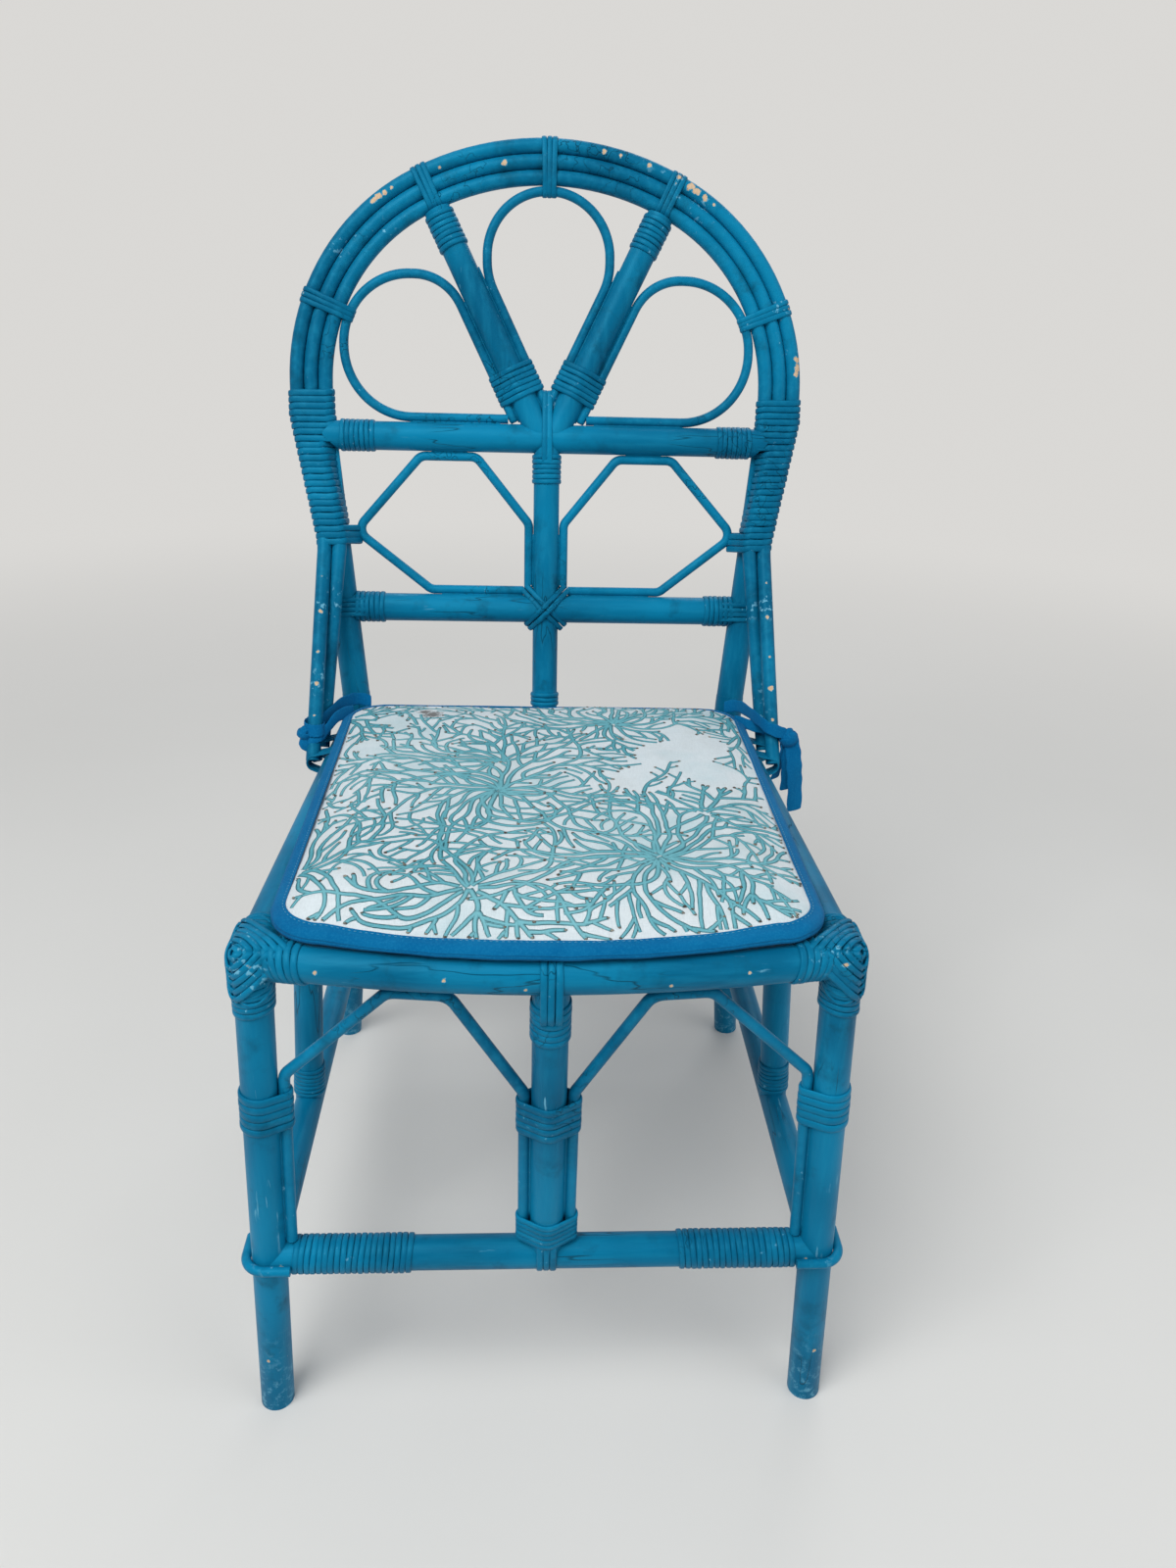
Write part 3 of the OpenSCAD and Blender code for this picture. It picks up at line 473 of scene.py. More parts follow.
class RattanColours(bpy.types.PropertyGroup):
    bright: colour_property("Paint", "Clean blue paint", (0.0022, 0.182, 0.345, 1))
    deep: colour_property("Deep paint", "Blue paint where it is thick", (0.001, 0.092, 0.19, 1))
    chalk: colour_property("Chalky paint", "Paint gone chalky", (0.012, 0.235, 0.40, 1))
    scuff: colour_property("Scuffs", "Pale rubbed paint", (0.16, 0.44, 0.60, 1))
    grime: colour_property("Grime", "Dirt in the hollows", (0.003, 0.035, 0.065, 1))
    cane: colour_property("Bare cane", "Cane where the paint has gone", (0.68, 0.52, 0.36, 1))
    cane_dark: colour_property("Bare cane grain", "Darker grain of bare cane", (0.42, 0.27, 0.16, 1))
    linen: colour_property("Linen", "Ground of the cushion's cloth", (0.60, 0.67, 0.71, 1))
    coral: colour_property("Print", "Coral branches", (0.070, 0.30, 0.37, 1))
    coral_pale: colour_property("Pale print", "Worn coral branches", (0.17, 0.43, 0.49, 1))
    tips: colour_property("Print tips", "Dots at the branch tips", (0.045, 0.036, 0.03, 1))
    stain: colour_property("Stains", "Old stains", (0.30, 0.29, 0.24, 1))
    trim: colour_property("Edging", "Blue edging and ties", (0.0006, 0.098, 0.255, 1))


# ---- operators ----

class Maker(bpy.types.Operator):
    """Common ground of the chair's operators"""

    bl_options = {"REGISTER", "UNDO"}

    @property
    def sizes(self):
        return bpy.context.scene.rattan_sizes

    @property
    def colours(self):
        return bpy.context.scene.rattan_colours

    def wrap_material(self):
        return bpy.data.materials["painted wrapping"]


class RATTAN_OT_paint(Maker):
    """Paints the poles and canes of the frame"""

    bl_idname = "rattan.paint"
    bl_label = "Paint Poles and Canes"

    def execute(self, context):
        c = self.colours
        upright = painted_cane("painted upright", c, (1, 1, 0.1))
        level = painted_cane("painted rail", c, (0.1, 1, 1))
        deep = painted_cane("painted side rail", c, (1, 0.1, 1))
        bent = painted_cane("painted bent cane", c)
        painted_cane("painted wrapping", c, turns=True)
        groups = {
            upright: ("front_leg", "rear_pole", "front_post", "side_post", "back_post", "fan_spoke"),
            level: ("front_seat_rail", "rear_seat_rail", "seat_slats", "front_stretcher", "rear_stretcher",
                    "upper_back_rail", "lower_back_rail"),
            deep: ("side_seat_rail", "side_stretcher"),
            bent: ("outer_arch", "middle_arch", "inner_arch", "centre_petal", "left_petal", "right_petal",
                   "left_lattice", "right_lattice", "left_apron", "right_apron", "leg_loop"),
        }
        for material, starts in groups.items():
            for name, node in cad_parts.items():
                if name.startswith(starts):
                    node.data.materials.clear()
                    node.data.materials.append(material)
        return {"FINISHED"}


class RATTAN_OT_back_wrappings(Maker):
    """Wraps the poles and arch canes together down both sides of the back"""

    bl_idname = "rattan.back_wrappings"
    bl_label = "Side Wrappings"

    def members(self, side, low, high):
        """The bundle at a share of the way up: arch canes, rear pole and, low down, the lattice cane."""
        def at(t):
            v = low + t * (high - low)
            # the inner arch cane ends higher up, and the rear pole is cut thinner where the canes lie on it
            canes = [cane_at(i, v) for i in (0, 1, 2) if i < 2 or v > 288]
            back_r = POLE - min(1, max(0, (v - 200) / 100)) * 6
            found = [(side * x, -w, ARCH) for x, w in canes]
            found.append((side * flare(v), POLE - back_r, back_r))
            if v < 207:
                found.append((side * (flare(203) - POLE - THIN - 3.0), 0, THIN))
            return [(x - side * 220, y, r) for x, y, r in found]
        return at

    def execute(self, context):
        low, high = 188.5, 338.5
        for side, name in ((LEFT, "left"), (RIGHT, "right")):
            wrap = Wrapping("side_wrapping_" + name, 11 + side, 44)
            start, end = back_point(side * 220, low), back_point(side * 220, high)
            wrap.run(start, end, ACROSS, self.members(side, low, high), 24, thick=2.6, tilt=1.2, phase=1.57)
            wrap.finish(self.wrap_material(), "back_binding_" + name)
        return {"FINISHED"}


class RATTAN_OT_arch_wrappings(Maker):
    """Straps over the three arch canes and turns round the tops and feet of the spokes"""

    bl_idname = "rattan.arch_wrappings"
    bl_label = "Arch and Spoke Wrappings"

    def strap(self, wrap, centre, radius, angle, petal):
        """Three bands across the arch, at an angle from upright; petal is how far in a petal cane lies."""
        members = [((i - 1) * PITCH, 0, ARCH) for i in range(3)]
        if petal:
            members.append((-petal, 0, THIN))
        for n in (-1, 0, 1):
            a = angle + n * 5.2 / radius
            outward = math.sin(a) * ACROSS + math.cos(a) * BACK_UP
            origin = back_point(centre[0], centre[1]) + (radius - ARCH - PITCH) * outward
            around = math.cos(a) * ACROSS - math.sin(a) * BACK_UP
            wrap.add(frame_at(origin, around, outward), members, width=5.0, thick=2.2)

    def execute(self, context):
        wrap = Wrapping("arch_strap_bands", 3)
        top = (0, ARCH_CENTRE)
        self.strap(wrap, top, ARCH_TOP, 0.0, 26)
        spoke_angle = math.atan2(spoke_x(530), 530 - ARCH_CENTRE)
        for side in (LEFT, RIGHT):
            self.strap(wrap, top, ARCH_TOP, side * spoke_angle, None)
            self.strap(wrap, (side * SHOULDER_X, SPRING), ARCH_SHOULDER, side * math.radians(68), 25.5)
        wrap.finish(self.wrap_material(), "arch_straps")
        turns = Wrapping("spoke_turns", 5)
        for side in (LEFT, RIGHT):
            across = ACROSS - side * SLOPE * BACK_UP
            round_spoke = [(0, 0, SPOKE)]
            with_canes = [(0, 0, SPOKE), (SPOKE + THIN, 0, THIN), (-SPOKE - THIN, 0, THIN)]
            for low, high, members, count in ((473, 504, round_spoke, 7), (335, 363, with_canes, 6)):
                start, end = (back_point(side * spoke_x(v), v) for v in (low, high))
                turns.run(start, end, across, members, count)
        turns.finish(self.wrap_material(), "spoke_bindings")
        return {"FINISHED"}


class RATTAN_OT_rail_wrappings(Maker):
    """Turns round the ends of the back rails and round the centre post"""

    bl_idname = "rattan.rail_wrappings"
    bl_label = "Rail and Post Wrappings"

    def execute(self, context):
        upper = Wrapping("upper_rail_turns", 7)
        lower = Wrapping("lower_rail_turns", 8)
        for side in (LEFT, RIGHT):
            ends = ((upper, UPPER_RAIL, 172, 206, 7), (lower, LOWER_RAIL, 165, 195, 6))
            for wrap, v, inner, outer, count in ends:
                start, end = (back_point(side * x, v) for x in (inner, outer))
                wrap.run(start, end, BACK_UP, [(0, 0, POLE)], count)
            for off in (-7.2, -2.4, 2.4, 7.2):
                v = LOWER_RAIL + off
                rail_end = (-side * 20, 0, math.sqrt(POLE ** 2 - off ** 2))
                lower.add(frame_at(back_point(side * flare(v), v), BACK_UP, ACROSS), [(0, 0, POLE), rail_end],
                          width=4.8, thick=2.4)
        upper.finish(self.wrap_material(), "upper_rail_bindings")
        for side, lift in ((LEFT, 0.0), (RIGHT, 2.0)):
            along = (side * ACROSS + BACK_UP).normalized()
            aside = (ACROSS - side * BACK_UP).normalized()
            for shift in (-2.9, 2.9):
                members = [(0, 0, POLE + lift, POLE * math.sqrt(2)), (25.5, 0, THIN + 0.5), (-21, 0, 4)]
                lower.add(frame_at(back_point(0, LOWER_RAIL) + shift * aside, aside, along), members,
                          width=5.4, thick=2.6, sink=0.1)
        lower.finish(self.wrap_material(), "lower_rail_bindings")
        post = Wrapping("back_post_turns", 9)
        post.run(back_point(0, 252), back_point(0, 281), ACROSS, [(0, 0, SPOKE)], 6)
        post.run(back_point(0, 25), back_point(0, 39), ACROSS, [(0, 0, SPOKE)], 3)
        for x in (-2.5, 2.5):
            post.add(frame_at(back_point(x, UPPER_RAIL), ACROSS, BACK_UP),
                     [(0, 0, POLE), (-18, 0, 13.4), (41, -1, 4.6)], width=5.4, thick=2.4)
        post.finish(self.wrap_material(), "back_post_bindings")
        return {"FINISHED"}


class RATTAN_OT_cane_feet(Maker):
    """Cut ends of the petal canes on the upper rail, and thick paint lying in the joints between canes"""

    bl_idname = "rattan.cane_feet"
    bl_label = "Cane Feet and Paint Seams"

    def execute(self, context):
        feet, seams = [], []
        stretch = math.sqrt(1 + SLOPE * SLOPE)
        for side in (LEFT, RIGHT):
            for step, low in ((SPOKE_STEP, 311.5), (-SPOKE_STEP, 314)):
                run = [back_point(side * (spoke_x(v) + step), v, 0.5) for v in (350, 335, 320, low + 2, low)]
                feet.append((run, (THIN, THIN, THIN, THIN * 0.98, THIN * 0.8)))
                seat = SPOKE * stretch * (1 if step > 0 else -1)
                top = 428 if step > 0 else 458
                seams.append([back_point(side * (spoke_x(v) + seat), v, 1) for v in range(312, top, 8)])
            for v, near, far in ((UPPER_RAIL + POLE, 47, 140), (UPPER_RAIL - POLE, 80, 120),
                                 (LOWER_RAIL + POLE, 23, 110)):
                seams.append([back_point(side * x, v, 1) for x in range(near, far, 6)])
            seams.append([back_point(side * 13.1, v, 1) for v in range(148, 208, 6)])
            seams.append([Vector((side * 13.8, post_y(z) - 1, z)) for z in range(208, 308, 8)])
            seams.append([leg_point(side, z) + Vector((-side * 14.1, -1, 0)) for z in range(186, 306, 8)])
        feet.append(([back_point(0, v, 1.2) for v in (296, 312, 328, 337)], (4.9, 4.9, 4.8, 4.2)))
        paint = bpy.data.materials["painted bent cane"]
        finish_piece("cane_feet", strands(feet, 3), paint)
        beads = strands([(run, [BEAD] * len(run)) for run in seams], 2)
        finish_piece("paint_seams", beads, paint)
        return {"FINISHED"}


class RATTAN_OT_front_wrappings(Maker):
    """Turns round the front post, the front legs, the front stretcher and the side posts"""

    bl_idname = "rattan.front_wrappings"
    bl_label = "Front and Side Wrappings"

    def execute(self, context):
        post = Wrapping("front_post_turns", 21)
        canes = [(0, 0, POST), (18.9, 0, THIN), (-18.9, 0, THIN)]
        spans = ((397, 431, [(0, 0, POST)], 6), (304, 337, canes, 5), (185, 212, canes, 5))
        for low, high, members, turns in spans:
            start, end = (Vector((0, post_y(z), z)) for z in (low, high))
            post.run(start, end, ACROSS, members, turns, tilt=0.8)
        up = Vector((0, 0, 1))
        for x in (-5.4, 0, 5.4):
            post.add(frame_at(Vector((x, bow_y(0), SEAT_Z)), ACROSS, up), [(0, 0, POLE), (-24, 1.5, POST)],
                     width=5.2, thick=2.2)
            post.add(frame_at(Vector((x, FRONT_Y, STRETCHER_Z)), ACROSS, up), [(0, 0, POLE), (20, 0, POST)],
                     width=5.2, thick=2.2)
        post.finish(self.wrap_material(), "front_post_bindings")
        legs = Wrapping("front_leg_turns", 22)
        stretcher = Wrapping("stretcher_turns", 23)
        sides = Wrapping("side_post_turns", 24)
        for side in (LEFT, RIGHT):
            low, high = leg_point(side, 301), leg_point(side, 336)
            legs.run(low, high, ACROSS, [(0, 0, POLE), (-side * 18.9, 0, THIN)], 5, thick=2.6, tilt=0.6)
            joint = leg_point(side, STRETCHER_Z)
            inner = Vector((side * 116, 0, 0))
            stretcher.run(joint - Vector((side * 20, 0, 0)), joint - inner, up, [(0, 0, POLE)], 20,
                          tilt=1.4, phase=1.57)
            foot = Vector((side * 224.6, FRONT_Y + 192, STRETCHER_Z))
            head = Vector((side * rail_x(192), FRONT_Y + 192, SEAT_Z))
            line = (head - foot).normalized()
            sides.run(foot + 12 * line, foot + 43 * line, ACROSS, [(0, 0, LIGHT)], 7)
        legs.finish(self.wrap_material(), "leg_bindings")
        stretcher.finish(self.wrap_material(), "stretcher_bindings")
        sides.finish(self.wrap_material(), "side_post_bindings")
        return {"FINISHED"}


class RATTAN_OT_corner_wrappings(Maker):
    """Herringbone lashings over the front corners and turns at the feet of the braces"""

    bl_idname = "rattan.corner_wrappings"
    bl_label = "Corner and Brace Wrappings"

    # bands in a lashing, the place of the first and the gap to the next, and how far they clear the poles
    BANDS, FIRST, GAP, CLEAR = 6, 12.2, 4.7, 2.3

    def lash(self, wrap, corner, first, second, face):
        """Bands round two of the corner's poles, seen only on the face that both poles share."""
        aslant = (first + second).normalized()
        along = (first - second).normalized()
        others = [v for v in self.faces if v is not face]
        under = POLE + self.CLEAR

        def shows(point):
            here = point - corner
            rival = max(here.dot(v) for v in others)
            return min(1, max(0, (here.dot(face) - rival) / 2.5 + 0.6))

        for n in range(self.BANDS):
            shift = self.FIRST - self.GAP * n
            if shift > 0:
                members = [(shift, 0, under, under * math.sqrt(2)), (-shift, 0, under, under * math.sqrt(2))]
            else:
                members = [(0, 0, math.sqrt(under ** 2 - shift ** 2), under * math.sqrt(2) + shift)]
            place = frame_at(corner + shift * aslant, aslant, along)
            wrap.add(place, members, width=5.0, thick=2.6, sink=0.0 if n == 0 else 0.12, shows=shows)

    def execute(self, context):
        down, back = Vector((0, 0, -1)), Vector((0, 1, 0))
        for side, name in ((LEFT, "left"), (RIGHT, "right")):
            wrap = Wrapping("corner_turns_" + name, 31 + side, 56)
            corner = leg_point(side, SEAT_Z)
            inward = Vector((-side, 0, 0))
            self.faces = [-back, -down, -inward]
            front_end = Vector((side * 174, bow_y(174), SEAT_Z))
            rear_end = Vector((side * rail_x(40), FRONT_Y + 40, SEAT_Z))
            wrap.run(corner, leg_point(side, 408), ACROSS, [(0, 0, POLE)], 9, tilt=side * 2.5, phase=1.57)
            for end in (front_end, rear_end):
                line = end - corner
                for n in range(8):
                    t = (n + 0.5) / 8
                    wrap.add(frame_at(corner + t * line, line, -down), [(0, 0, POLE)], width=5.3, thick=2.4,
                             tilt=-7 * (1 - 0.7 * t), phase=1.57)
            self.lash(wrap, corner, inward, down, self.faces[0])
            self.lash(wrap, corner, inward, back, self.faces[1])
            self.lash(wrap, corner, back, down, self.faces[2])
            core = bmesh.ops.create_icosphere(wrap.bm, subdivisions=3, radius=POLE + 1.9)["verts"]
            bmesh.ops.translate(wrap.bm, verts=core, vec=corner)
            wrap.finish(self.wrap_material(), "corner_lashing_" + name)
        braces = Wrapping("brace_turns", 35)
        for side in (LEFT, RIGHT):
            for y in (345, 380):
                middle = Vector((side * rail_x(y), FRONT_Y + y, SEAT_Z))
                for n in (-1, 0, 1):
                    place = frame_at(middle + Vector((0, 2 + 5 * n, 0)), Vector((0, 1, 0)), ACROSS)
                    braces.add(place, [(0, 0, POLE), (side * 21.5, -2, ARCH)], width=5, thick=2.2)
        braces.finish(self.wrap_material(), "brace_bindings")
        return {"FINISHED"}


def bow_depth(x):
    """How far the cushion's bowed front edge lies behind its middle."""
    return CUSHION_BOW - math.sqrt(CUSHION_BOW ** 2 - x ** 2)


def cushion_outline(margin, points=10):
    """The cushion's plan outline, anticlockwise from its rear right corner, in millimetres."""
    low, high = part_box("seat_cushion")
    half, rear, front = 1000 * high.x + margin, 1000 * high.y + margin, 1000 * low.y - margin
    radius = CUSHION_CORNER + margin
    x_end = half - radius
    sag = bow_depth(x_end)
    found = []
    corners = ((x_end, rear - radius, 0), (-x_end, rear - radius, 90),
               (-x_end, front + sag + radius, 180), (x_end, front + sag + radius, 270))
    for x, y, turn in corners:
        for n in range(points + 1):
            a = math.radians(turn + 90 * n / points)
            found.append(Vector((x + radius * math.cos(a), y + radius * math.sin(a))))
        if turn == 180:
            for n in range(1, 12):
                across = -x_end + 2 * x_end * n / 12
                found.append(Vector((across, front + bow_depth(across))))
    return found


def inset_from(edge, x, y):
    """How far inside a closed outline a point lies; below nothing when it is outside."""
    point = Vector((x, y))
    return min((b - a).normalized().cross(point - a) for a, b in zip(edge, edge[1:] + edge[:1]))


def lies_in(edge, x, y):
    """Whether a point lies inside a closed outline, which may bend inwards."""
    inside = False
    for a, b in zip(edge, edge[1:] + edge[:1]):
        if (a.y > y) != (b.y > y) and x < a.x + (y - a.y) * (b.x - a.x) / (b.y - a.y):
            inside = not inside
    return inside


class TopOf:
    """Heights of the upper side of a finished piece."""

    def __init__(self, piece):
        self.tree = BVHTree.FromObject(piece, bpy.context.evaluated_depsgraph_get())

    def at(self, x, y):
        hit = self.tree.ray_cast(Vector((x * MM, y * MM, 0.6)), Vector((0, 0, -1)))[0]
        return 1000 * hit.z


class RATTAN_OT_cushion(Maker):
    """Makes the linen cushion with its blue edging"""

    bl_idname = "rattan.cushion"
    bl_label = "Cushion"

    # the air in the pad and how many frames it swells for
    PRESSURE, FRAMES = 4, 12
    # how far in from the edge the pad has its full height, and its full swell
    HEIGHT_RIM, SWELL_RIM = 48, 50

    def swell(self, pad, edge):
        """Puffs the pad like stuffed cloth, less towards its sewn edge."""
        cloth = pad.modifiers.new("cloth", "CLOTH")
        cloth.settings.use_pressure = True
        cloth.settings.uniform_pressure_force = self.PRESSURE
        cloth.settings.effector_weights.gravity = 0
        cloth.settings.quality = 6
        start = [v.co.copy() for v in pad.data.vertices]
        for number in range(1, self.FRAMES + 1):
            bpy.context.scene.frame_set(number)
        shape = pad.evaluated_get(bpy.context.evaluated_depsgraph_get())
        moved = [v.co.copy() for v in shape.data.vertices]
        pad.modifiers.remove(cloth)
        bpy.context.scene.frame_set(1)
        for vert, old, new in zip(pad.data.vertices, start, moved):
            inside = inset_from(edge, old.x / MM, old.y / MM)
            cap = self.sizes.cushion_crown * min(1, max(0.05, inside / self.SWELL_RIM))
            step = new - old
            if step.length > cap:
                step *= cap / step.length
            vert.co = old + step

    def block(self, edge, low, high):
        """The pad before it swells: a block with a bevelled rim, meshed evenly."""
        bm = bmesh.new()
        base = bm.faces.new([bm.verts.new((p.x, p.y, low + 1)) for p in edge])
        top = bmesh.ops.extrude_face_region(bm, geom=[base])
        bmesh.ops.translate(bm, verts=[g for g in top["geom"] if isinstance(g, bmesh.types.BMVert)],
                            vec=(0, 0, high - low - 4))
        rim = [e for e in bm.edges if abs(e.verts[0].co.z - e.verts[1].co.z) < 0.1]
        bmesh.ops.bevel(bm, geom=rim, offset=5, affect="EDGES", segments=2, profile=0.5, material=-1)
        material = print_cloth("coral print linen", self.colours)
        pad = finish_piece("seat_pad", bm, material, ("seat_cushion",))
        remesh = pad.modifiers.new("even", "REMESH")
        remesh.mode, remesh.voxel_size = "VOXEL", 0.005
        applied(pad, "even")
        return pad

    def execute(self, context):
        box_low, box_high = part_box("seat_cushion")
        low, high = 1000 * box_low.z, 1000 * box_high.z
        edge = cushion_outline(-4.5)
        pad = self.block(edge, low, high)
        deep = box_high.y - box_low.y
        for vert in pad.data.vertices:
            inside = max(0, inset_from(edge, vert.co.x / MM, vert.co.y / MM))
            rise = 1 - (1 - min(1, inside / self.HEIGHT_RIM)) ** 2
            thin = 0.50 + 0.42 * ((vert.co.y - box_low.y) / deep) ** 2
            vert.co.z = low * MM + (vert.co.z - low * MM) * (thin + (1 - thin) * rise)
        self.swell(pad, edge)
        for vert in pad.data.vertices:
            dent = 0.0018 * noise.noise(vert.co * 9) + 0.0007 * noise.noise(vert.co * 34)
            vert.co.z += dent if vert.co.z > (low + 6) * MM else 0
            vert.co.z = max(vert.co.z, low * MM)
        smoothed(pad, 1)
        applied(pad, "smooth")
        pad.data.shade_smooth()
        self.edging(TopOf(pad), low)
        return {"FINISHED"}

    def edging(self, top, low):
        """The blue edging: a folded strip sewn round the cushion's upper edge and side, and its stitches."""
        bm = bmesh.new()
        wide = self.sizes.bias_width * 1000
        rim = [top.at(p.x, p.y) for p in cushion_outline(-8, 14)]
        inner = [top.at(p.x, p.y) for p in cushion_outline(-wide, 14)]
        # across from the outline, whether it keeps the inner edge's height, lift, share of the pad's height
        section = ((-wide + 0.3, 1, -0.8, 1), (-wide, 1, 1.0, 1), (-wide + 1.2, 1, 1.5, 1), (-8, 0, 1.6, 1),
                   (-4, 0, 0.9, 1), (-1.2, 0, -0.8, 1), (0.4, 0, -3.2, 1), (0.9, 0, -0.6, 0.62),
                   (0.1, 0, -0.2, 0.5), (0.9, 0, 0.2, 0.4), (0.5, 0, 0.8, 0.1), (-1.5, 0, 0.3, 0),
                   (-5, 0, 0.1, 0), (-7.5, 0, 2.0, 0), (-6, 0, 0.5, 0.5), (-8, 0, -2.5, 1))
        loops = []
        for margin, from_inner, up, share in section:
            heights = inner if from_inner else rim
            loops.append([bm.verts.new((p.x, p.y, low + share * (z - low) + up))
                          for p, z in zip(cushion_outline(margin, 14), heights)])
        for loop in loops:
            for a, b in zip(loop, loop[1:] + loop[:1]):
                bm.edges.new((a, b))
        for one, two in zip(loops, loops[1:] + loops[:1]):
            edges = [bm.edges.get((a, b)) for ring in (one, two) for a, b in zip(ring, ring[1:] + ring[:1])]
            bmesh.ops.bridge_loops(bm, edges=edges)
        piece = finish_piece("cushion_edging", bm, trim_cloth("blue edging", self.colours),
                             ("cushion_piping",))
        smoothed(piece, 2)
        applied(piece, "smooth")
        for vert in piece.data.vertices:
            vert.co.z += 0.0009 * noise.noise(vert.co * 55)
        self.stitches(TopOf(piece))

    def stitches(self, top):
        """Small running stitches along the inner edge of the edging."""
        bm = bmesh.new()
        loop = cushion_outline(2.4 - self.sizes.bias_width * 1000, 14)
        gap, length, due = 4.2, 1.3, 0.0
        for a, b in zip(loop, loop[1:] + loop[:1]):
            span = (b - a).length
            while due < span:
                at = a + (b - a) * (due / span)
                stitch = bmesh.ops.create_icosphere(bm, subdivisions=1, radius=1)["verts"]
                bmesh.ops.scale(bm, vec=(length, 0.4, 0.35), verts=stitch)
                turn = Matrix.Rotation(math.atan2(b.y - a.y, b.x - a.x), 3, "Z")
                bmesh.ops.rotate(bm, verts=stitch, matrix=turn)
                bmesh.ops.translate(bm, verts=stitch, vec=(at.x, at.y, top.at(at.x, at.y)))
                due += gap
            due -= span
        n = Nodes("blue thread")
        colour = n.mix(n.noise(300, 2), (0.01, 0.15, 0.32, 1), (0.08, 0.30, 0.45, 1))
        rough = n.span(n.noise(400), 0.0, 1.0, 0.5, 0.7)
        thread = n.surface(colour, rough, n.bump(n.noise(2000), 0.0002))
        finish_piece("edging_stitches", bm, thread)


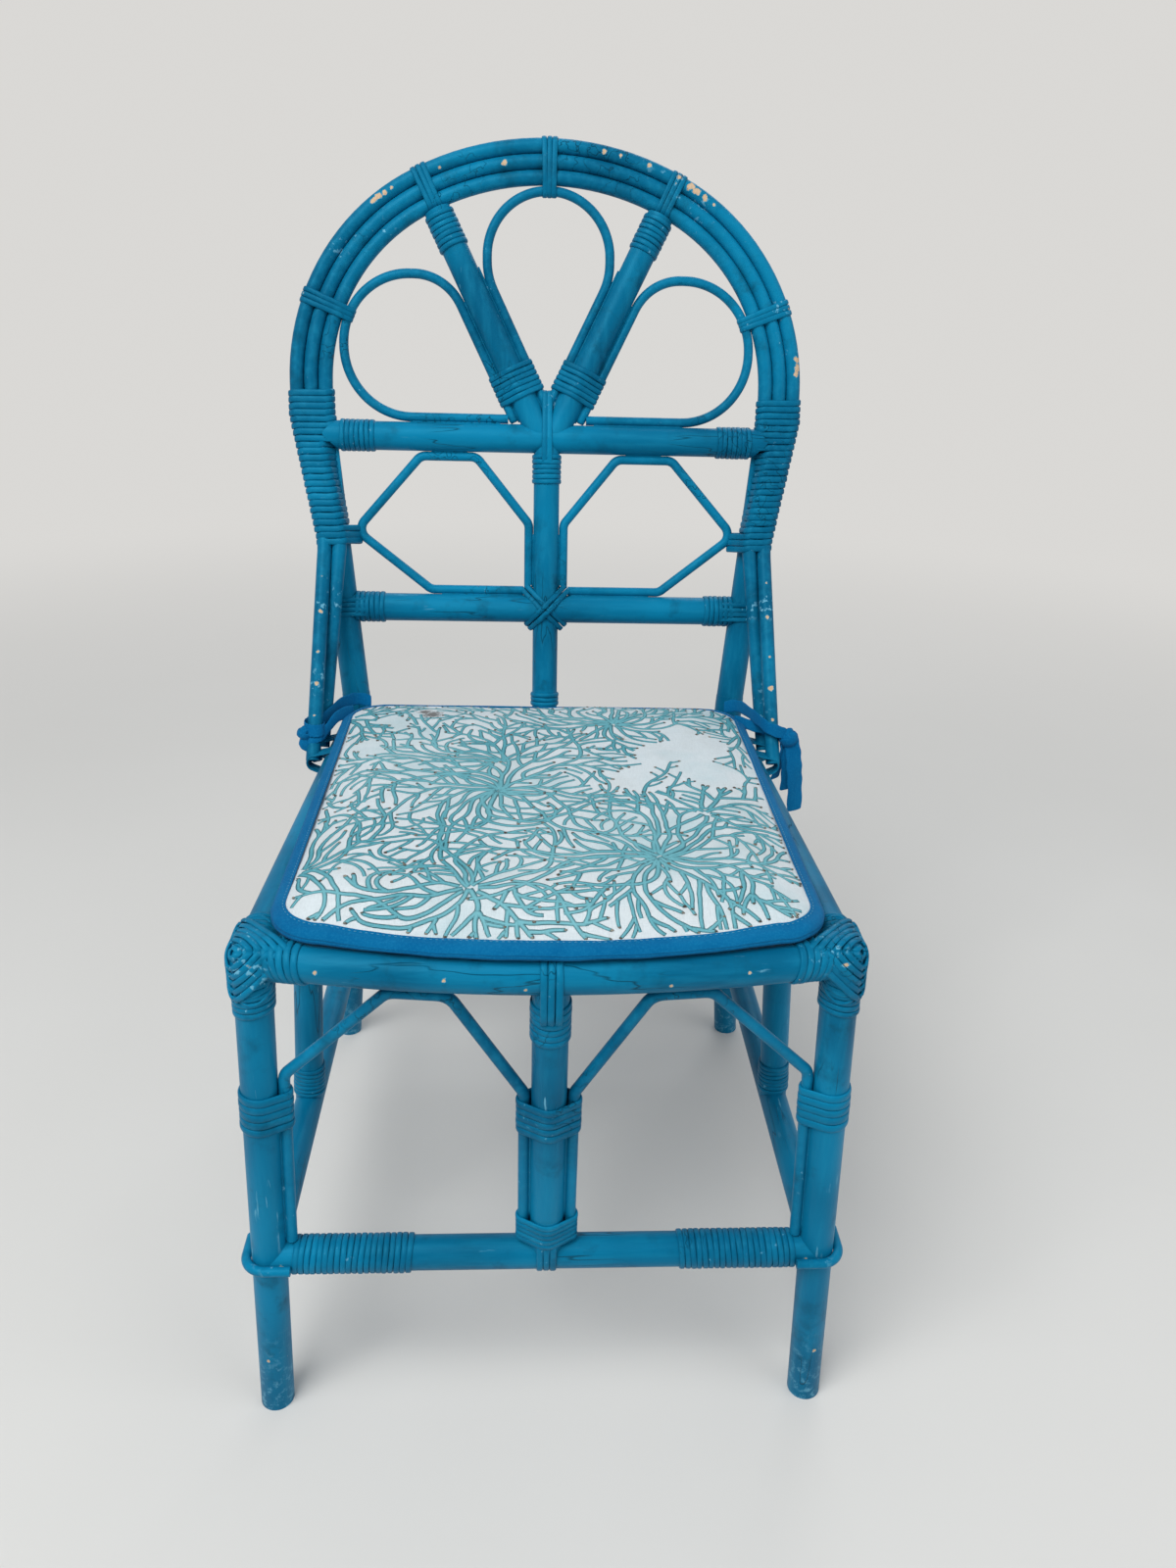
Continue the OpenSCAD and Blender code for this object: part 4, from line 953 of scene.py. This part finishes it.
class RATTAN_OT_print(Maker):
    """Prints coral branches and the dark dots at their tips on the cushion's cloth"""

    bl_idname = "rattan.print"
    bl_label = "Coral Print"

    # each coral's foot, the heading and spread of its branches in degrees, their count and reach
    CORALS = ((-42, -68, 175, 350, 26, 190), (-42, -10, 120, 200, 10, 120), (66, 84, 90, 320, 20, 120),
              (84, -190, 20, 350, 24, 150), (130, -112, 20, 330, 9, 90), (186, 120, 265, 40, 4, 190),
              (-60, -236, 90, 340, 12, 150), (-190, -200, 10, 130, 6, 120), (-196, 110, -30, 110, 5, 80))
    # bare cloth: places and radii
    OPEN = ((118, 6, 36), (146, 34, 26), (84, -46, 26), (150, -36, 26), (128, 66, 16), (-174, -252, 8),
            (-152, 92, 12), (-141, 80, 9), (-168, 34, 13), (-158, 20, 9), (176, -226, 10), (-112, 108, 11),
            (-120, 116, 8), (-60, 112, 8), (-152, -214, 7))
    # length of a branch's straight steps, and the grain at which crowding is felt
    STEP, CELL = 3.0, 3.2

    def crowd(self, at):
        """How much print already lies round a place."""
        x, y = round(at.x / self.CELL), round(at.y / self.CELL)
        return sum(self.taken.get((x + i, y + j), 0) for i in (-1, 0, 1) for j in (-1, 0, 1))

    def bare(self, at):
        """Whether a place is off the cloth or in one of its bare places."""
        cell = (round(at.x / 2), round(at.y / 2))
        if cell not in self.outside:
            self.outside[cell] = not lies_in(self.edge, at.x, at.y)
        return self.outside[cell] or any(math.hypot(at.x - x, at.y - y) < r for x, y, r in self.OPEN)

    def branch(self, at, heading, width, reach):
        """Draws one branch, which steers for bare cloth and may end where it meets another."""
        path, bend = [at], 0.0
        chance = self.random.random
        while reach > 0:
            bend = 0.75 * bend + self.random.uniform(-0.09, 0.09)
            turns = [(self.crowd(at + 8 * towards(heading + bend + t)) + 4 * abs(t) + 0.8 * chance(), t)
                     for t in (-0.22, -0.1, 0.0, 0.1, 0.22)]
            heading += bend + min(turns)[1]
            at = at + self.STEP * towards(heading)
            if self.bare(at):
                break
            path.append(at)
            if len(path) > 4 and self.crowd(at + 4 * towards(heading)) > 3 and chance() < 0.12:
                break
            reach -= self.STEP
        if len(path) > 2:
            self.tips.append(path[-1])
            self.runs.append((path, width))
            for place in path:
                cell = (round(place.x / self.CELL), round(place.y / self.CELL))
                self.taken[cell] = self.taken.get(cell, 0) + 1

    def twigs(self, path, width):
        """Lets twigs out on either side of a branch wherever the cloth beside it is bare."""
        for n in range(2, len(path) - 1, 2):
            step = path[n] - path[n - 1]
            heading = math.atan2(step.y, step.x)
            for side in (-1, 1):
                beside = path[n] + 7.5 * towards(heading + side * 1.1)
                if self.crowd(beside) < 1 and not self.bare(beside) and self.random.random() < 0.5:
                    lean = heading + side * self.random.uniform(0.45, 0.85)
                    self.branch(path[n], lean, max(2.6, width * 0.9), self.random.uniform(14, 50))

    def lone_branch(self, at, heading):
        """The one branch that stands in the bare place, with short side twigs."""
        path, span = [at], 74
        while span > 0:
            at = at + self.STEP * towards(heading + 0.25 * math.sin(span / 9))
            path.append(at)
            span -= self.STEP
            if round(span / self.STEP) % 4 == 1:
                twig = [at]
                lean = heading + self.random.choice((-0.8, 0.8))
                for n in range(self.random.randint(3, 6)):
                    twig.append(twig[-1] + self.STEP * towards(lean + 0.12 * n))
                self.runs.append((twig, 2.5))
                self.tips.append(twig[-1])
        self.runs.append((path, 3.0))

    def execute(self, context):
        self.random = random.Random(41)
        self.runs, self.tips, self.taken, self.outside = [], [], {}, {}
        self.edge = cushion_outline(-self.sizes.bias_width * 1000 - 1.5)
        top = TopOf(bpy.data.objects["seat_pad"])
        for x, y, heading, spread, count, reach in self.CORALS:
            for n in range(count):
                fan = spread * ((n + 0.5) / count - 0.5)
                angle = math.radians(heading + fan + self.random.uniform(-6, 6))
                start = Vector((x, y)) + self.random.uniform(0, 8) * towards(angle)
                width, share = self.random.uniform(3.2, 3.9), self.random.uniform(0.6, 1.1)
                self.branch(start, angle, width, reach * share)
        for sweep in range(6):
            for path, width in list(self.runs):
                self.twigs(path, width)
        self.lone_branch(Vector((82, -74)), math.radians(62))
        runs = []
        for path, width in self.runs:
            count = len(path) - 1
            points = [Vector((p.x, p.y, 0)) for p in path]
            runs.append((points, [0.66 * width * (1 - 0.25 * n / count) for n in range(count + 1)]))
        bm = strands(runs, 0)
        for vert in bm.verts:
            vert.co.z = top.at(vert.co.x, vert.co.y) + 0.16 + 0.12 * vert.co.z
        finish_piece("coral_branches", bm, ink("coral ink", self.colours))
        dots = bmesh.new()
        for tip in self.tips:
            if self.random.random() < 0.7 and lies_in(self.edge, tip.x, tip.y):
                radius = self.random.uniform(1.2, 1.8)
                dot = bmesh.ops.create_icosphere(dots, subdivisions=1, radius=radius)["verts"]
                bmesh.ops.scale(dots, vec=(1, 1, 0.3), verts=dot)
                bmesh.ops.translate(dots, verts=dot, vec=(tip.x, tip.y, top.at(tip.x, tip.y) + 0.3))
        n = Nodes("dot ink")
        colour = n.mix(n.span(n.noise(300, 3), 0.4, 0.7), self.colours.tips, self.colours.stain)
        normal = n.bump(weave(n, 900), 0.0003, 0.6)
        finish_piece("coral_dots", dots, n.surface(colour, n.span(n.noise(90), 0, 1, 0.85, 0.95), normal))
        return {"FINISHED"}


def towards(heading):
    """The direction of a heading in the cushion's plane."""
    return Vector((math.cos(heading), math.sin(heading)))


def weave(n, count):
    """Plain weave as a height: warp and weft threads crossing, count threads to the metre."""
    parts = n.add("ShaderNodeSeparateXYZ", {0: n.place}).outputs
    turn = 2 * math.pi * count
    warp = n.math("SINE", n.times(parts["X"], turn))
    weft = n.math("SINE", n.times(parts["Y"], turn))
    return n.times(n.plus(warp, weft), 0.25)


def slubs(n):
    """Uneven linen threads both ways, as a share."""
    one = n.noise(1, 2, 0.6, n.scaled((160, 1500, 1)))
    two = n.noise(1, 2, 0.6, n.scaled((1500, 160, 1)))
    return n.times(n.plus(one, two), 0.5)


def linen(n, colour, threads):
    """The dull woven surface that the cloth and its print share."""
    n.shader.inputs["Specular IOR Level"].default_value = 0.2
    rough = n.span(n.noise(90), 0.0, 1.0, 0.85, 0.95)
    return n.surface(colour, rough, n.bump(n.plus(weave(n, 900), threads), 0.0004, 0.7))


def ink(name, c):
    """Printed ink on linen: threads show through and it is worn paler in clouds."""
    n = Nodes(name)
    threads = slubs(n)
    pale = n.span(n.noise(9, 3), 0.38, 0.66)
    colour = n.mix(pale, c.coral, c.coral_pale)
    colour = n.mix(n.span(threads, 0.42, 0.66, 0.0, 0.5), colour, c.coral_pale)
    return linen(n, colour, threads)


def print_cloth(name, c):
    """Linen ground with washes of the print's colour, slubs and old stains."""
    n = Nodes(name)
    threads = slubs(n)
    wash = n.near([(-0.05, -0.05, 0.49, 0.12), (0.08, -0.17, 0.49, 0.09)])
    cloud = n.plus(n.noise(13, 3), n.times(wash, 0.12))
    blush = n.span(cloud, 0.5, 0.72, 0.0, 0.35)
    ground = n.mix(blush, c.linen, c.coral_pale)
    ground = n.mix(n.span(threads, 0.4, 0.65, 0.0, 0.3), ground, (0.36, 0.43, 0.46, 1))
    low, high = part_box("seat_cushion")
    rear = n.near([(-0.112, 0.107, high.z, 0.021), (-0.120, 0.117, high.z, 0.016)])
    marks = n.near([(high.x - 0.13, high.y - 0.11, high.z, 0.016),
                    (low.x + 0.12, low.y + 0.12, high.z, 0.012), (0.03, low.y + 0.2, high.z, 0.012)])
    heavy = n.span(n.plus(n.times(rear, 0.55), n.noise(170, 4, 0.7)), 0.74, 0.86)
    colour = n.coat(ground, (0.06, 0.05, 0.045, 1), heavy, 0.85)
    stain = n.span(n.plus(n.times(marks, 0.45), n.noise(150, 4, 0.7)), 0.76, 0.9)
    colour = n.coat(colour, c.stain, stain, 0.7)
    grub = n.span(n.noise(16, 4, 0.6), 0.5, 0.8, 0.0, 0.22)
    colour = n.mix(grub, colour, c.stain)
    n.shader.inputs["Sheen Weight"].default_value = 0.1
    return linen(n, colour, threads)


def trim_cloth(name, c):
    """Blue cotton tape, a little faded and creased."""
    n = Nodes(name)
    fade = n.span(n.noise(24, 4, 0.6), 0.4, 0.75, 0.0, 0.5)
    colour = n.mix(fade, c.trim, (0.004, 0.155, 0.34, 1))
    colour = n.mix(n.span(n.noise(700, 2), 0.45, 0.7, 0.0, 0.3), colour, (0.012, 0.20, 0.40, 1))
    rough = n.span(n.noise(60), 0.0, 1.0, 0.7, 0.9)
    crease = n.bump(n.noise(75, 4, 0.6), 0.0016, 0.5)
    bump = n.bump(weave(n, 1500), 0.0002, 0.5, crease)
    n.shader.inputs["Sheen Weight"].default_value = 0.03
    n.shader.inputs["Specular IOR Level"].default_value = 0.15
    n.shader.inputs["Specular Tint"].default_value = (0.15, 0.7, 1.0, 1)
    return n.surface(colour, rough, bump)


# how high the ties hold the braces, and the direction across a tape that lies on edge
TIE_Z = 482
UPWARDS = (0, 0.3, 1)


class RATTAN_OT_ties(Maker):
    """Ties the cushion to the braces with blue tapes"""

    bl_idname = "rattan.ties"
    bl_label = "Cushion Ties"

    def flow(self, knots, steps=5):
        """A smooth run through some places, each with a direction across the tape."""
        ends = [knots[0], *knots, knots[-1]]
        found = []
        for one, two, three, four in zip(ends, ends[1:], ends[2:], ends[3:]):
            for n in range(steps):
                t = n / steps
                shares = (-t + 2 * t * t - t ** 3, 2 - 5 * t * t + 3 * t ** 3,
                          t + 4 * t * t - 3 * t ** 3, t ** 3 - t * t)
                found.append([sum((s * k[i] for s, k in zip(shares, (one, two, three, four))), Vector()) / 2
                              for i in (0, 1)])
        return found + [list(knots[-1])]

    def tape(self, bm, knots, width):
        """A tape drawn out step by step along a smooth run, three threads across."""
        run = self.flow([(Vector(place), Vector(aside).normalized()) for place, aside in knots])
        share, row = (-0.5, 0, 0.5), []
        for n, (place, aside) in enumerate(run):
            if row:
                made = bmesh.ops.extrude_edge_only(bm, edges=edges)["geom"]
                fresh = [g for g in made if isinstance(g, bmesh.types.BMVert)]
                row = [min(fresh, key=lambda v: (v.co - old.co).length) for old in row]
            else:
                row = [bm.verts.new(place + Vector((0.1 * k, 0, 0))) for k in share]
                bm.edges.new(row[:2])
                bm.edges.new(row[1:])
            edges = [bm.edges.get(row[:2]), bm.edges.get(row[1:])]
            across = aside.normalized() * width * (1 - 0.08 * math.sin(1.7 * n))
            for k, vert in zip(share, row):
                vert.co = place + k * across

    def coil(self, side, middle, start, end, radius, drop):
        """Places on a turn of tape round a brace; 0 degrees is behind it and 90 on its outer side."""
        found = []
        step = math.copysign(30, end - start)
        for n in range(int((end - start) / step) + 1):
            a, t = math.radians(start + step * n), step * n / (end - start)
            place = middle + Vector((side * radius * math.sin(a), radius * math.cos(a), drop * t))
            found.append((place + Vector((0, 0, -drop / 2)), (0.06 * side, 0.5, 0.86)))
        return found

    def wound(self, bm, size, wide, turn):
        """One turn of tape round a knot's heart, turned by some degrees."""
        start = len(bm.verts)
        section = bmesh.ops.create_circle(bm, segments=10, radius=1)["verts"]
        bmesh.ops.scale(bm, vec=(1.1, size[2] * 0.42, 1), verts=section)
        bmesh.ops.rotate(bm, verts=section, matrix=Matrix.Rotation(math.pi / 2, 3, "X"))
        bmesh.ops.translate(bm, verts=section, vec=(size[0] * wide, 0, 0))
        edges = list({e for v in section for e in v.link_edges})
        bmesh.ops.spin(bm, geom=edges, cent=(0, 0, 0), axis=(0, 0, 1), angle=2 * math.pi, steps=24,
                       use_merge=True)
        bm.verts.ensure_lookup_table()
        ring = bm.verts[start:]
        bmesh.ops.scale(bm, vec=(1, (size[1] + 0.6) / size[0], 1), verts=ring)
        bmesh.ops.rotate(bm, verts=ring, matrix=Matrix.Rotation(math.radians(turn), 3, "Y"))

    def knot(self, name, at, size, lean, material):
        """A pulled-tight knot: a folded heart with turns of tape over it."""
        bm = bmesh.new()
        heart = bmesh.ops.create_icosphere(bm, subdivisions=4, radius=1)["verts"]
        for vert in heart:
            fold = math.sin(5 * math.atan2(vert.co.z, vert.co.x) + 4 * vert.co.y)
            vert.co *= 1 + 0.09 * fold + 0.12 * noise.noise(2.3 * vert.co + at)
        bmesh.ops.scale(bm, vec=size, verts=heart)
        self.wound(bm, size, 1.02, lean)
        self.wound(bm, size, 0.94, lean + 62)
        bmesh.ops.translate(bm, verts=bm.verts, vec=at)
        finish_piece("tie_knot_" + name, bm, material)

    def left_tie(self, bm, brace, rear, width, material):
        """Two bands wound round the brace, and a short tail that hangs from the knot."""
        x, y = brace.x, brace.y
        over = [((-178, rear - 3, 489), UPWARDS), ((-192, rear - 4, 492), UPWARDS),
                ((-206, rear - 22, 493), UPWARDS)]
        over += self.coil(LEFT, brace + Vector((0, 0, 2)), -30, 300, 9.6, -5)
        under = [((-193, rear - 26, 487), UPWARDS), ((-206, y + 16, 489), UPWARDS)]
        under += self.coil(LEFT, brace - Vector((1, 0, 7)), 250, -40, 11.0, -8)
        tail = [((x - 11, y - 9, 480), (0.5, 0, 1)), ((x - 9, y - 13, 470), (1, 0, 0.5)),
                ((x + 1, y - 13, 462), (1, 0, 0.6)), ((x + 3, y - 12, 452), (1, 0, 0.3))]
        for knots, share in ((over, 1), (under, 1), (tail, 0.8)):
            self.tape(bm, knots, width * share)
        self.knot("left", Vector((x - 9, y - 6, 479)), (6.5, 6, 8), 20, material)

    def right_tie(self, bm, brace, rear, width, material):
        """Two bands drawn past the brace to a knot outside it, and three loose tails."""
        x, y = brace.x, brace.y
        over = [(place, UPWARDS) for place in (
            (186, rear - 8, 488), (199, rear - 20, 494), (210, y + 10, 495),
            (x - 6, y - 10, 491), (x + 9, y - 11, 486), (x + 17, y - 8, 480))]
        under = [(place, UPWARDS) for place in (
            (193, rear - 34, 484), (206, y + 16, 484), (x - 3, y + 11, 481), (x + 9, y + 5, 480),
            (x + 16, y - 5, 478))]
        long_tail = [((x + 16, y - 9, 483), (1, -0.1, 0.5)), ((x + 20, y - 13, 470), (1, 0, 0.4)),
                     ((x + 23, y - 15, 452), (1, 0.05, 0.25)), ((x + 26, y - 14, 430), (1, 0.2, 0.2)),
                     ((x + 28, y - 14, 402), (1, 0.05, 0.25))]
        short_tail = [((x + 14, y - 6, 481), (1, 0, 0.4)), ((x + 16, y - 10, 466), (1, -0.1, 0.3)),
                      ((x + 18, y - 11, 446), (1, 0.1, 0.3)), ((x + 19, y - 10, 424), (1, -0.1, 0.35))]
        inner_tail = [((x + 14, y - 6, 480), (0.8, 0.6, 0)), ((x + 11, y - 9, 466), (0.7, 0.7, 0.1)),
                      ((x + 9, y - 8, 450), (0.8, 0.5, 0)), ((x + 6, y - 6, 434), (0.9, 0.4, 0.2))]
        shares = (1, 0.9, 1.25, 1.15, 0.85)
        for knots, share in zip((over, under, long_tail, short_tail, inner_tail), shares):
            self.tape(bm, knots, width * share)
        self.knot("right", Vector((x + 16, y - 8, 479)), (8.5, 7, 10.5), -25, material)

    def execute(self, context):
        material = trim_cloth("blue tie", self.colours)
        width = self.sizes.tie_width * 1000 - 2
        rear = 1000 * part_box("seat_cushion")[1].y
        for side, name, tie in ((LEFT, "left", self.left_tie), (RIGHT, "right", self.right_tie)):
            top, foot = brace_line(side, 0)
            brace = foot.lerp(top, (TIE_Z - foot.z) / (top.z - foot.z))
            bm = bmesh.new()
            tie(bm, brace, rear, width, material)
            piece = finish_piece("cushion_tape_" + name, bm, material, ("cushion_tie_" + name,))
            solid = piece.modifiers.new("cloth thickness", "SOLIDIFY")
            solid.thickness, solid.offset = 0.0012, 0
            smoothed(piece, 2)
        return {"FINISHED"}


class RATTAN_OT_stage(Maker):
    """Sets the floor, the lights and the camera"""

    bl_idname = "rattan.stage"
    bl_label = "Stage"

    def lamp(self, name, place, aim, size, power, colour=(1, 1, 1)):
        light = bpy.data.lights.new(name, "AREA")
        light.shape, light.size, light.energy, light.color = "SQUARE", size, power, colour
        lamp = bpy.data.objects.new(name, light)
        lamp.location = place
        lamp.rotation_euler = (Vector(aim) - Vector(place)).to_track_quat("-Z", "Y").to_euler()
        bpy.context.scene.collection.objects.link(lamp)

    def floor(self):
        """A pale floor that fades into the backdrop where the camera sees it far out."""
        bm = bmesh.new()
        bmesh.ops.create_grid(bm, x_segments=8, y_segments=8, size=7)
        mesh = bpy.data.meshes.new("floor")
        bm.to_mesh(mesh)
        bm.free()
        floor = bpy.data.objects.new("floor", mesh)
        bpy.context.scene.collection.objects.link(floor)
        n = Nodes("pale floor")
        colour = n.mix(n.noise(1.2, 3), (0.60, 0.60, 0.585, 1), (0.66, 0.66, 0.65, 1))
        rough = n.span(n.noise(3), 0, 1, 0.8, 0.9)
        mesh.materials.append(n.surface(colour, rough, n.bump(n.noise(40, 4), 0.001, 0.2)))
        away = n.add("ShaderNodeVectorMath", {0: n.place}, operation="LENGTH").outputs["Value"]
        fade = n.add("ShaderNodeMapRange", {"Value": away, "From Min": 0.9, "From Max": 3.4},
                     interpolation_type="SMOOTHSTEP").outputs[0]
        seen = n.times(fade, n.add("ShaderNodeLightPath").outputs["Is Camera Ray"])
        plain = n.add("ShaderNodeEmission", {"Color": BACKDROP, "Strength": 1.0}).outputs[0]
        mixed = n.add("ShaderNodeMixShader", {0: seen, 1: n.shader.outputs[0], 2: plain}).outputs[0]
        n.link(mixed, n.out.inputs["Surface"])

    def surroundings(self):
        """A pale sky that lights the chair, with the backdrop's colour where the camera sees it."""
        world = bpy.data.worlds.new("studio")
        bpy.context.scene.world = world
        world.use_nodes = True
        nodes, links = world.node_tree.nodes, world.node_tree.links
        nodes.clear()
        out = nodes.new("ShaderNodeOutputWorld")
        mix = nodes.new("ShaderNodeMixShader")
        path = nodes.new("ShaderNodeLightPath")
        links.new(path.outputs["Is Camera Ray"], mix.inputs[0])
        for number, colour, strength in ((1, (0.96, 0.98, 1.0, 1), 0.42), (2, BACKDROP, 1.0)):
            light = nodes.new("ShaderNodeBackground")
            light.inputs["Color"].default_value = colour
            light.inputs["Strength"].default_value = strength
            links.new(light.outputs[0], mix.inputs[number])
        links.new(mix.outputs[0], out.inputs[0])

    def execute(self, context):
        context.scene.view_settings.view_transform = "Standard"
        self.floor()
        self.surroundings()
        self.lamp("key", (-1.2, -1.7, 3.0), (0, 0, 0.5), 2.0, 96, (1, 0.99, 0.97))
        self.lamp("fill", (2.2, -1.4, 1.8), (0, 0, 0.5), 2.2, 20, (0.96, 0.98, 1))
        self.lamp("rear", (0.6, 2.4, 2.4), (0, 0, 0.6), 2.0, 20)
        self.camera()
        return {"FINISHED"}

    def camera(self):
        """The camera: turned from looking straight back by yaw, pitch and roll, in radians."""
        yaw, pitch, roll = 0.0575, 0.4287, -0.0303
        forward = Vector((math.sin(yaw) * math.cos(pitch), math.cos(yaw) * math.cos(pitch), -math.sin(pitch)))
        right = Vector((math.cos(yaw), -math.sin(yaw), 0))
        down = forward.cross(right)
        across = math.cos(roll) * right + math.sin(roll) * down
        below = math.cos(roll) * down - math.sin(roll) * right
        lens = bpy.data.cameras.new("camera")
        lens.sensor_width, lens.lens = 36, 27.045
        lens.clip_start = 0.05
        camera = bpy.data.objects.new("camera", lens)
        place = Matrix((across, -below, -forward)).transposed().to_4x4()
        camera.matrix_world = Matrix.Translation((-0.0186, -0.7233 + FRONT_Y * MM, 0.9208)) @ place
        bpy.context.scene.collection.objects.link(camera)
        bpy.context.scene.camera = camera


OPERATORS = (RATTAN_OT_paint, RATTAN_OT_back_wrappings, RATTAN_OT_arch_wrappings, RATTAN_OT_rail_wrappings,
             RATTAN_OT_cane_feet, RATTAN_OT_front_wrappings, RATTAN_OT_corner_wrappings, RATTAN_OT_cushion,
             RATTAN_OT_print, RATTAN_OT_ties, RATTAN_OT_stage)


class RATTAN_PT_panel(bpy.types.Panel):
    """Lists the chair's sizes, colours and makers"""

    bl_idname = "RATTAN_PT_panel"
    bl_label = "Rattan Chair"
    bl_space_type = "VIEW_3D"
    bl_region_type = "UI"
    bl_category = "Rattan Chair"

    def draw(self, context):
        for group in (context.scene.rattan_sizes, context.scene.rattan_colours):
            for name in group.bl_rna.properties.keys():
                if name not in ("rna_type", "name"):
                    self.layout.prop(group, name)
        for operator in OPERATORS:
            self.layout.operator(operator.bl_idname)


CLASSES = (RattanSizes, RattanColours, *OPERATORS, RATTAN_PT_panel)


def register():
    for item in CLASSES:
        bpy.utils.register_class(item)
    bpy.types.Scene.rattan_sizes = bpy.props.PointerProperty(type=RattanSizes)
    bpy.types.Scene.rattan_colours = bpy.props.PointerProperty(type=RattanColours)


def unregister():
    del bpy.types.Scene.rattan_colours
    del bpy.types.Scene.rattan_sizes
    for item in reversed(CLASSES):
        bpy.utils.unregister_class(item)


def main():
    register()
    for operator in OPERATORS:
        group, name = operator.bl_idname.split(".")
        getattr(getattr(bpy.ops, group), name)()


if __name__ == "__main__":
    main()
